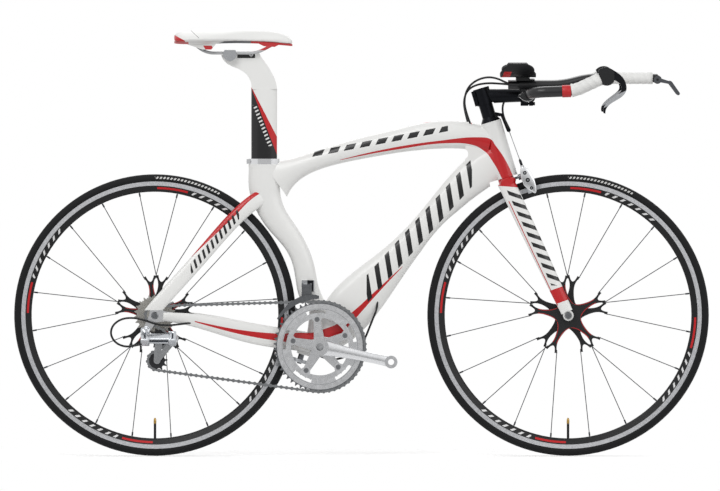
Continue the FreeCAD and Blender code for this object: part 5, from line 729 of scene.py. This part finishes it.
class BICYCLE_OT_drive(bpy.types.Operator):
    """Cranks, rings, chain, sprockets, derailleurs and brakes"""
    bl_idname = "bicycle.drive"
    bl_label = "Drive and brakes"

    def execute(self, context):
        dress(alloy("crank alloy", tuple(paint().silver), 0.16, 0.3), "crank_right", "crank_left")
        ring = alloy("ring alloy", tuple(paint().silver), 0.2, 0.34)
        length = ring.radius(BOTTOM_BRACKET)
        groove_shade = (0.0892, 0.0902)
        tooth_root = 0.1015
        # Painted shade: a thin darker line at the ring's groove, and the teeth painted darker
        ring.layer(ring.inside(length, *groove_shade), srgb("A3A5A8"))
        ring.layer(ring.above(length, tooth_root), srgb("77797C"))
        dress(ring, "big_chainring")
        dress(alloy("small ring alloy", srgb("BDBFC2"), 0.22, 0.36), "small_chainring")
        dress(alloy("bolt steel", srgb("8A8C8F"), 0.15, 0.3), "chainring_bolts")
        dress(alloy("chain steel", srgb("86888A"), 0.25, 0.42), "chain")
        dress(alloy("sprocket steel", srgb("B5B3AD"), 0.2, 0.35), "cassette")
        forging = alloy("derailleur alloy", srgb("C3C6CA"), 0.12, 0.26)
        forged_copy("upper_knuckle_forging", "rd_upper_knuckle", forging, "frame")
        forged_copy("outer_link_forging", "rd_outer_link", forging, "derailleur_outer_link")
        forged_copy("inner_link_forging", "rd_inner_link", forging, "derailleur_inner_link")
        forged_copy("lower_knuckle_forging", "rd_lower_knuckle", forging, "derailleur_knuckle")
        dress(alloy("derailleur plate alloy", srgb("A2A4A6"), 0.2, 0.34), "rd_cage")
        mech = alloy("front derailleur alloy", srgb("B4B6B9"), 0.14, 0.28)
        dark_part = (-0.1285, -0.1140)
        mech.layer(mech.inside(mech.x, *dark_part), srgb("2A2B2E"))
        dress(mech, "fd_body", "fd_link")
        dress(alloy("cage steel", srgb("6E7073"), 0.2, 0.34), "fd_cage")
        dress(moulded("pulley plastic", "232427", 0.45), "guide_pulley", "tension_pulley")
        brake = alloy("calliper alloy", srgb("A9ABAE"), 0.15, 0.3)
        pad_back = 0.0195
        for centre in (FRONT_AXLE, REAR_AXLE):
            pad = brake.both(brake.inside(brake.radius(centre), *BRAKE_PADS),
                             brake.below(brake.sum("ABSOLUTE", brake.y), pad_back))
            brake.layer(pad, tuple(paint().black))
        bolt = alloy("brake bolt steel", srgb("6E7073"), 0.2, 0.35)
        for side in ("front", "rear"):
            dress(brake, side + "_brake_arm_left", side + "_brake_arm_right")
            dress(bolt, side + "_brake_mount")
        return {"FINISHED"}


class BICYCLE_OT_cockpit(bpy.types.Operator):
    """Stem, bars, arm rests and levers"""
    bl_idname = "bicycle.cockpit"
    bl_label = "Cockpit"

    def execute(self, context):
        dress(alloy("stem alloy", srgb("1C1D20"), 0.3, 0.45), "stem", "headset_spacers")
        dress(carbon("bar carbon"), "base_bar", "extensions")
        bracket = moulded("bracket plastic", "151618", 0.42)
        slant = bracket.line(1.0, -0.35, 0.35 * 0.9045)
        mark = bracket.both(bracket.inside(slant, 0.335, 0.353), bracket.inside(bracket.z, 0.897, 0.912))
        bracket.layer(mark, tuple(paint().red))
        dress(bracket, "arm_rest_brackets")
        dress(moulded("control plastic", "17181A", 0.4), "control_bodies")
        lever = alloy("lever alloy", srgb("232427"), 0.2, 0.34)
        lever.layer(lever.inside(lever.line(-0.45, 1.0, 0.45 * 0.606), 0.843, 0.860), srgb("B4B6B9"))
        dress(lever, "brake_lever_left", "brake_lever_right")
        shifter = alloy("shift lever alloy", srgb("5A5C60"), 0.2, 0.34)
        dress(shifter, "shift_lever_left", "shift_lever_right")
        return {"FINISHED"}


class BICYCLE_OT_cables(bpy.types.Operator):
    """Shift, brake and derailleur housings, and the bare front brake wire"""
    bl_idname = "bicycle.cables"
    bl_label = "Cables"

    def execute(self, context):
        skin = moulded("housing plastic", "18191B", 0.38)
        routes = {
            "shift_housing_right": ((0.258, -0.007, 0.788), (0.245, -0.008, 0.822), (0.244, -0.009, 0.852),
                                    (0.254, -0.012, 0.877), (0.275, -0.020, 0.893), (0.300, -0.031, 0.8995),
                                    (0.323, -0.043, 0.8955), (0.342, -0.0515, 0.886), (0.358, -0.055, 0.880)),
            "shift_housing_left": ((0.252, 0.007, 0.792), (0.243, 0.012, 0.824), (0.2435, 0.017, 0.850),
                                   (0.253, 0.024, 0.869), (0.272, 0.033, 0.880), (0.298, 0.044, 0.884),
                                   (0.324, 0.052, 0.883), (0.358, 0.055, 0.880)),
            "derailleur_loop": ((-0.404, -0.066, 0.317), (-0.432, -0.079, 0.3135), (-0.460, -0.091, 0.311),
                                (-0.486, -0.099, 0.314), (-0.511, -0.103, 0.323), (-0.538, -0.103, 0.330),
                                (-0.567, -0.100, 0.328), (-0.589, -0.097, 0.313), (-0.595, -0.095, 0.291),
                                (-0.584, -0.093, 0.271), (-0.563, -0.0915, 0.261), (-0.542, -0.0905, 0.262),
                                (-0.521, -0.0895, 0.267)),
            "rear_brake_housing": ((0.038, -0.010, 0.378), (0.038, -0.017, 0.352), (0.028, -0.020, 0.328),
                                   (0.018, -0.020, 0.303), (0.009, -0.018, 0.280), (-0.006, -0.015, 0.257),
                                   (-0.029, -0.012, 0.239), (-0.056, -0.009, 0.229), (-0.080, -0.006, 0.229),
                                   (-0.098, -0.004, 0.2365)),
            "front_brake_housing": ((0.342, -0.004, 0.849), (0.3365, -0.0045, 0.837), (0.334, -0.0045, 0.824),
                                    (0.336, -0.003, 0.808), (0.342, -0.001, 0.792), (0.3474, 0.0, 0.7783)),
        }
        bodies = {"shift_housing_right": None, "shift_housing_left": None,
                  "front_brake_housing": "steering"}
        made = {}
        for name, route in routes.items():
            made[name] = self.housing(name, route, skin, bodies.get(name, "frame"))
        for name in ("shift_housing_right", "shift_housing_left"):
            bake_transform(made[name])
        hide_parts("control_cables")
        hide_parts("front_brake_cable")
        self.wire()
        return {"FINISHED"}

    def housing(self, name, route, skin, body):
        """A cable housing along its route."""
        data = spline(name, route)
        path = read_line(data)
        data.bevel_depth = sizes().housing / 2
        data.bevel_resolution = 3
        data.use_fill_caps = True
        piece = new_piece(name, curve_mesh(data), skin, body)
        return piece

    def wire(self):
        """The bare wire and its adjusting barrel, from the hanger to the brake arm."""
        start, end = Vector((0.34742, 0.0, 0.77827)), Vector((0.38007, -0.009, 0.68930))
        reach = (start - end).length
        place = pointing(end, start - end)
        thin = sizes().wire / 2
        steel = alloy("wire steel", srgb("8E9093"), 0.2, 0.35)
        profile = [(0, 0), (0, thin), (reach, thin), (reach, 0)]
        new_piece("front_brake_wire", turned("front_brake_wire", profile, place), steel, "steering")
        barrel = [(0.0, 0.0012), (0.0, 0.0030), (0.002, 0.0033), (0.004, 0.0030), (0.006, 0.0033),
                  (0.008, 0.0030), (0.010, 0.0033), (0.0135, 0.0026), (0.015, 0.0020), (0.015, 0.0012)]
        new_piece("brake_adjuster", turned("brake_adjuster", barrel + barrel[:1], place),
                  alloy("adjuster alloy", srgb("2B2C2F"), 0.25, 0.4), "steering")


class BICYCLE_OT_tape(bpy.types.Operator):
    """Lapped white tape on the bar's arms and the extensions, with red finishing bands"""
    bl_idname = "bicycle.tape"
    bl_label = "Bar tape"

    def execute(self, context):
        # Cork tape: soft white, with cells drawn 2.4 mm wide so that they show
        cells_to_metre = 420.0
        cork = Finish("cork tape", srgb("F1F1EF"), 0.62)
        cork.tint(7, 0.12)
        cells = cork.node("ShaderNodeTexVoronoi", {"Vector": cork.place, "Scale": cells_to_metre})
        cork.bump(cells.outputs["Distance"], 0.03, 0.3)
        # Finishing tape: stretched red plastic with a dull shine
        red = Finish("finishing tape", tuple(paint().red), 0.4)
        red.tint(9, 0.2)
        red.bump(red.noise(1.2), 0.03, 0.3)
        arm = [(0.4713, 0.8664), (0.502, 0.8675), (0.5299, 0.8803), (0.547, 0.8882), (0.5645, 0.8962)]
        arm_start = 0.4950
        extension_start, extension_length, steps = 0.583, 0.107, 40
        for word, y in (("left", 1), ("right", -1)):
            path = read_line(spline("arm path", [(x, ARM_SIDE * y, z) for x, z in arm]))
            path = [p for p in path if p.x > arm_start]
            self.wrap("arm_tape_" + word, path, *ARM_RADII, cork, y)
            straight = [Vector((extension_start + extension_length * i / steps, EXTENSION_SIDE * y,
                                EXTENSION_HEIGHT)) for i in range(steps + 1)]
            self.wrap("extension_tape_" + word, straight, *EXTENSION_RADII, cork, y)
            place = pointing((0.4737, ARM_SIDE * y, 0.86648), (0.9993, 0, 0.0366))
            self.band("arm_band_" + word, place, 0.01305, 0.0213, red)
            place = pointing((0.5715, EXTENSION_SIDE * y, EXTENSION_HEIGHT), (1, 0, 0))
            self.band("extension_band_" + word, place, 0.01115, 0.0115, red)
        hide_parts("bar_tape")
        return {"FINISHED"}

    def band(self, name, place, inner, length, finish):
        """A ring of finishing tape at the end of a sleeve."""
        thickness = 0.0015
        outer = inner + thickness
        edge = outer - 0.0004
        slope = 0.001
        profile = [(0, inner), (0, edge), (slope, outer), (length - slope, outer), (length, edge),
                   (length, inner)]
        new_piece(name, turned(name, profile + profile[:1], place), finish, "steering")

    def wrap(self, name, path, inner, outer, finish, side):
        """One sleeve of tape: lapped turns, each from a high edge down to a low one."""
        lengths = [0.0]
        for a, b in zip(path, path[1:]):
            lengths.append(lengths[-1] + (b - a).length)

        def at(distance):
            """The point at a distance along the path, and the path's direction there."""
            for index in range(1, len(path)):
                if lengths[index] >= distance - 1e-9:
                    break
            a, b = path[index - 1], path[index]
            share = (distance - lengths[index - 1]) / max(lengths[index] - lengths[index - 1], 1e-9)
            return a.lerp(b, min(max(share, 0.0), 1.0)), (b - a).normalized()

        total = lengths[-1]
        turns = max(2, round(total / sizes().tape_pitch))
        pitch = total / turns
        low = outer - sizes().tape_step
        slant = LAP_SLANT * side
        stops = [(0.0, inner, 0.0), (0.0, low, 0.0)]
        for turn in range(turns):
            tilt = 0.0 if turn == 0 else slant
            next_tilt = 0.0 if turn == turns - 1 else slant
            stops.append((turn * pitch + LAP_RISE, outer - LAP_ROUNDING, tilt))
            stops.append((turn * pitch + LAP_CROWN, outer, tilt))
            stops.append(((turn + 1) * pitch - LAP_END, low, next_tilt))
        stops += [(turn * pitch, inner, 0.0) for turn in range(turns, 0, -1)]
        bm = bmesh.new()
        rings = []
        for distance, radius, tilt in stops:
            place, along = at(distance)
            turn = pointing(place, along) @ Matrix.Rotation(tilt, 4, "X")
            made = bmesh.ops.create_circle(bm, segments=sizes().ring_segments, radius=radius, matrix=turn)
            ring = set(made["verts"])
            rings.append([e for e in bm.edges if e.verts[0] in ring and e.verts[1] in ring])
        for first, second in zip(rings, rings[1:] + rings[:1]):
            bmesh.ops.bridge_loops(bm, edges=first + second)
        return new_piece(name, mesh_from(bm, name), finish, "steering")


class BICYCLE_OT_saddle(bpy.types.Operator):
    """Padded saddle cover, its base, rails and clamp"""
    bl_idname = "bicycle.saddle"
    bl_label = "Saddle"

    def execute(self, context):
        self.leather()
        self.base()
        dress(alloy("saddle clamp alloy", srgb("B2B4B7"), 0.12, 0.26), "saddle_clamp")
        return {"FINISHED"}

    def leather(self):
        """Coated white leather with a red tail and a dark seam; its pores are drawn 1.1 mm wide to show."""
        pores_to_metre = 900.0
        hide = Finish("white leather", srgb("F0F0EE"), 0.42)
        hide.tint(40, 0.06)
        grain = hide.node("ShaderNodeTexVoronoi", {"Vector": hide.place, "Scale": pores_to_metre})
        hide.bump(grain.outputs["Distance"], 0.05, 0.35)
        tail = hide.both(hide.below(hide.x, -0.418), hide.below(hide.line(0.55, 1.0, 0.55 * 0.43), 0.9915))
        hide.layer(tail, tuple(paint().red))
        half_seam = 0.0007
        seam = hide.inside(hide.beyond((0.9, 1.0), (-0.395, 1.0005)), -half_seam, half_seam)
        hide.layer(hide.both(seam, hide.inside(hide.x, -0.405, -0.385)), srgb("3A3A3C"))
        piece = padded_copy("saddle_leather", "saddle_cover", 0.0042, 0.984, hide, "saddle")

    def base(self):
        """Red painted base with steel-grey rails, a grey middle, and white wings with a red bar."""
        rail_top = 0.9625
        base = Finish("saddle base paint", tuple(paint().red), 0.32)
        base.tint(25, 0.25)
        base.coat(0.4, 0.1)
        shell = base.above(base.z, rail_top)
        rails = base.both(base.below(base.z, rail_top), base.inside(base.x, -0.41, -0.20))
        base.layer(rails, srgb("B9BABC"))
        base.layer(base.both(base.inside(base.x, -0.405, -0.262), shell), srgb("6A6B6E"))
        side = base.above(base.sum("ABSOLUTE", base.y), 0.0425)
        base.layer(base.both(side, base.inside(base.x, -0.41, -0.322), shell), srgb("ECECEA"))
        slant = base.line(1.0, 0.6, -0.6 * 0.968)
        bar = base.both(side, base.inside(slant, -0.372, -0.352), base.below(base.z, 0.9735))
        base.layer(bar, tuple(paint().red))
        base.bump(base.noise(0.8), 0.04, 0.3)
        dress(base, "saddle_base")


class BICYCLE_OT_pads(bpy.types.Operator):
    """Foam arm pads in their cups"""
    bl_idname = "bicycle.pads"
    bl_label = "Arm pads"

    def execute(self, context):
        # Knitted cover: dull black, with ribs 1.7 mm apart
        rib_scale = 180.0
        knit = Finish("pad knit", srgb("1E1F22"), 0.85)
        knit.tint(6, 0.3)
        ribs = knit.node("ShaderNodeTexWave", {"Vector": knit.place, "Scale": rib_scale})
        knit.bump(ribs.outputs[1], 0.12, 0.5)
        piece = padded_copy("arm_foam", "arm_pads", 0.0032, None, knit, "steering")
        return {"FINISHED"}


def even_copy(name, node, voxel):
    """A copy of a CAD node as an object of its own, welded and meshed evenly."""
    bm = bmesh.new()
    bm.from_mesh(NODES[node].data)
    bmesh.ops.remove_doubles(bm, verts=bm.verts, dist=1e-5)
    mesh = bpy.data.meshes.new(name)
    bm.to_mesh(mesh)
    bm.free()
    piece = bpy.data.objects.new(name, mesh)
    bpy.context.scene.collection.objects.link(piece)
    bpy.context.view_layer.objects.active = piece
    mesh.remesh_voxel_size = voxel
    bpy.ops.object.select_all(action="DESELECT")
    piece.select_set(True)
    bpy.ops.object.voxel_remesh()
    return piece


def smooth_over(piece, passes, finish, body, node):
    """Rounds a copy's edges, gives it a finish and puts it in its node's place."""
    bm = bmesh.new()
    bm.from_mesh(piece.data)
    for _ in range(passes):
        bmesh.ops.smooth_vert(bm, verts=bm.verts, factor=0.5,
                              use_axis_x=True, use_axis_y=True, use_axis_z=True)
    bmesh.ops.recalc_face_normals(bm, faces=bm.faces)
    bm.to_mesh(piece.data)
    bm.free()
    cover_smoothly(piece.data, finish)
    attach(piece, body)
    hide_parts(node)


def forged_copy(name, node, finish, body):
    """A forging in place of a squared solid: the same shape with its edges rounded."""
    piece = even_copy(name, node, sizes().forging_voxel)
    smooth_over(piece, sizes().forging_passes, finish, body, node)


def padded_copy(name, node, voxel, floor, finish, body):
    """A swollen copy of a soft solid: blown up a little as cloth, and flat below a floor, if it has one."""
    piece = even_copy(name, node, voxel)
    rest = [v.co.copy() for v in piece.data.vertices]
    blow_up(piece)
    cap = sizes().pad_swell
    for vertex, start in zip(piece.data.vertices, rest):
        move = vertex.co - start
        if floor is not None:
            move *= min(max((start.z - floor) / PAD_FADE, 0.0), 1.0)
        if move.length > cap:
            move *= cap / move.length
        vertex.co = start + move
    smooth_over(piece, PAD_PASSES, finish, body, node)
    finer = piece.modifiers.new("finer", "SUBSURF")
    finer.levels = 1
    finer.render_levels = 1
    return piece


def blow_up(piece):
    """Cloth with a little pressure inside, applied to the mesh."""
    scene = bpy.context.scene
    cloth = piece.modifiers.new("swell", "CLOTH")
    cloth.settings.use_pressure = True
    cloth.settings.uniform_pressure_force = SWELL_PRESSURE
    cloth.settings.effector_weights.gravity = 0.0
    cloth.point_cache.frame_start = 1
    cloth.point_cache.frame_end = SWELL_FRAMES + 2
    for step in range(1, SWELL_FRAMES + 1):
        scene.frame_set(step)
    evaluated = piece.evaluated_get(bpy.context.evaluated_depsgraph_get())
    swollen = bpy.data.meshes.new_from_object(evaluated)
    piece.modifiers.remove(cloth)
    piece.data = swollen
    scene.frame_set(1)


class BICYCLE_OT_trim(bpy.types.Operator):
    """Bottle bolts, valve caps and the front brake's cheeks"""
    bl_idname = "bicycle.trim"
    bl_label = "Trim"

    def execute(self, context):
        steel = alloy("bolt alloy", srgb("7C7E81"), 0.2, 0.35)
        head = [(-0.004, 0.0), (-0.004, 0.0022), (0.0004, 0.0022), (0.0004, 0.0045), (0.0018, 0.0045),
                (0.0030, 0.0034), (0.0032, 0.0020), (0.0014, 0.0018), (0.0014, 0.0)]
        off_down_tube = Vector((-0.74314, 0, 0.66913))
        bosses = {"bottle_bolt_lower": (-0.000359, 0, 0.429504), "bottle_bolt_upper": (0.042465, 0, 0.477065)}
        for name, place in bosses.items():
            new_piece(name, turned(name, head, pointing(place, off_down_tube)), steel, "frame")
        brass = alloy("valve brass", srgb("A9894C"), 0.2, 0.35)
        cap = [(0.0, 0.0), (0.0, 0.0031), (0.0045, 0.0034), (0.0110, 0.0030), (0.0140, 0.0016), (0.0150, 0.0)]
        tip = RIM_RADIUS - RIM_DEPTH - VALVE_LENGTH
        overlap = 0.0002
        for side, centre in (("front", FRONT_AXLE), ("rear", REAR_AXLE)):
            name = side + "_valve_cap"
            place = pointing(centre - Vector((0, 0, tip - overlap)), (0, 0, 1))
            new_piece(name, turned(name, cap, place), brass, side + "_wheel")
        self.cheeks()
        return {"FINISHED"}

    def cheeks(self):
        """Leaf-shaped outer cheeks of the front brake's arms, with three pockets each painted dark as shade,
        around a paler boss.
        """
        inner_face = 0.0325
        thickness = 0.0055
        rounding = 0.0016
        boss_share = 0.45
        silver = alloy("cheek alloy", tuple(paint().silver), 0.14, 0.28)
        # Painted shade: each pocket is painted dark, with a paler boss at its middle
        for x, z, radius in ((0.387, 0.672, 0.0045), (0.394, 0.655, 0.0052), (0.403, 0.636, 0.0042)):
            length = silver.radius(Vector((x, 0, z)))
            silver.layer(silver.below(length, radius), srgb("2A2B2E"))
            silver.layer(silver.below(length, radius * boss_share), srgb("A0A2A5"))
        outline = [(0.3790, 0.6875), (0.3865, 0.6870), (0.3960, 0.6800), (0.4040, 0.6690), (0.4100, 0.6560),
                   (0.4140, 0.6420), (0.4150, 0.6290), (0.4120, 0.6230), (0.4040, 0.6265), (0.3940, 0.6330),
                   (0.3850, 0.6420), (0.3790, 0.6560), (0.3760, 0.6720)]
        for word, y in (("left", 1), ("right", -1)):
            bm = bmesh.new()
            face = bm.faces.new([bm.verts.new((x, inner_face * y, z)) for x, z in outline])
            side = bmesh.ops.extrude_face_region(bm, geom=[face])["geom"]
            corners = [v for v in side if isinstance(v, bmesh.types.BMVert)]
            bmesh.ops.translate(bm, verts=corners, vec=(0, thickness * y, 0))
            bmesh.ops.bevel(bm, geom=list(bm.edges), offset=rounding, segments=2, affect="EDGES", profile=0.5,
                            material=-1)
            name = "front_brake_cheek_" + word
            new_piece(name, mesh_from(bm, name), silver, "front_" + word + "_brake_arm")


class BICYCLE_PT_panel(bpy.types.Panel):
    """Lists the bicycle's colours, sizes and pieces"""
    bl_idname = "BICYCLE_PT_panel"
    bl_label = "Bicycle"
    bl_space_type = "VIEW_3D"
    bl_region_type = "UI"
    bl_category = "Bicycle"

    def draw(self, context):
        for group in (context.scene.bicycle_paint, context.scene.bicycle_sizes):
            for key in group.__annotations__:
                self.layout.prop(group, key)
        for operator in OPERATORS:
            self.layout.operator(operator.bl_idname)


OPERATORS = (BICYCLE_OT_stage, BICYCLE_OT_cables, BICYCLE_OT_frame, BICYCLE_OT_wheels, BICYCLE_OT_drive,
             BICYCLE_OT_cockpit, BICYCLE_OT_tape, BICYCLE_OT_saddle, BICYCLE_OT_pads, BICYCLE_OT_trim)
CLASSES = (BicyclePaint, BicycleSizes) + OPERATORS + (BICYCLE_PT_panel,)


def register():
    for item in CLASSES:
        bpy.utils.register_class(item)
    bpy.types.Scene.bicycle_paint = PointerProperty(type=BicyclePaint)
    bpy.types.Scene.bicycle_sizes = PointerProperty(type=BicycleSizes)


def unregister():
    del bpy.types.Scene.bicycle_sizes
    del bpy.types.Scene.bicycle_paint
    for item in reversed(CLASSES):
        bpy.utils.unregister_class(item)


def main():
    register()
    bpy.ops.bicycle.stage()
    bpy.ops.bicycle.cables()
    bpy.ops.bicycle.frame()
    bpy.ops.bicycle.wheels()
    bpy.ops.bicycle.drive()
    bpy.ops.bicycle.cockpit()
    bpy.ops.bicycle.tape()
    bpy.ops.bicycle.saddle()
    bpy.ops.bicycle.pads()
    bpy.ops.bicycle.trim()


if __name__ == "__main__":
    main()
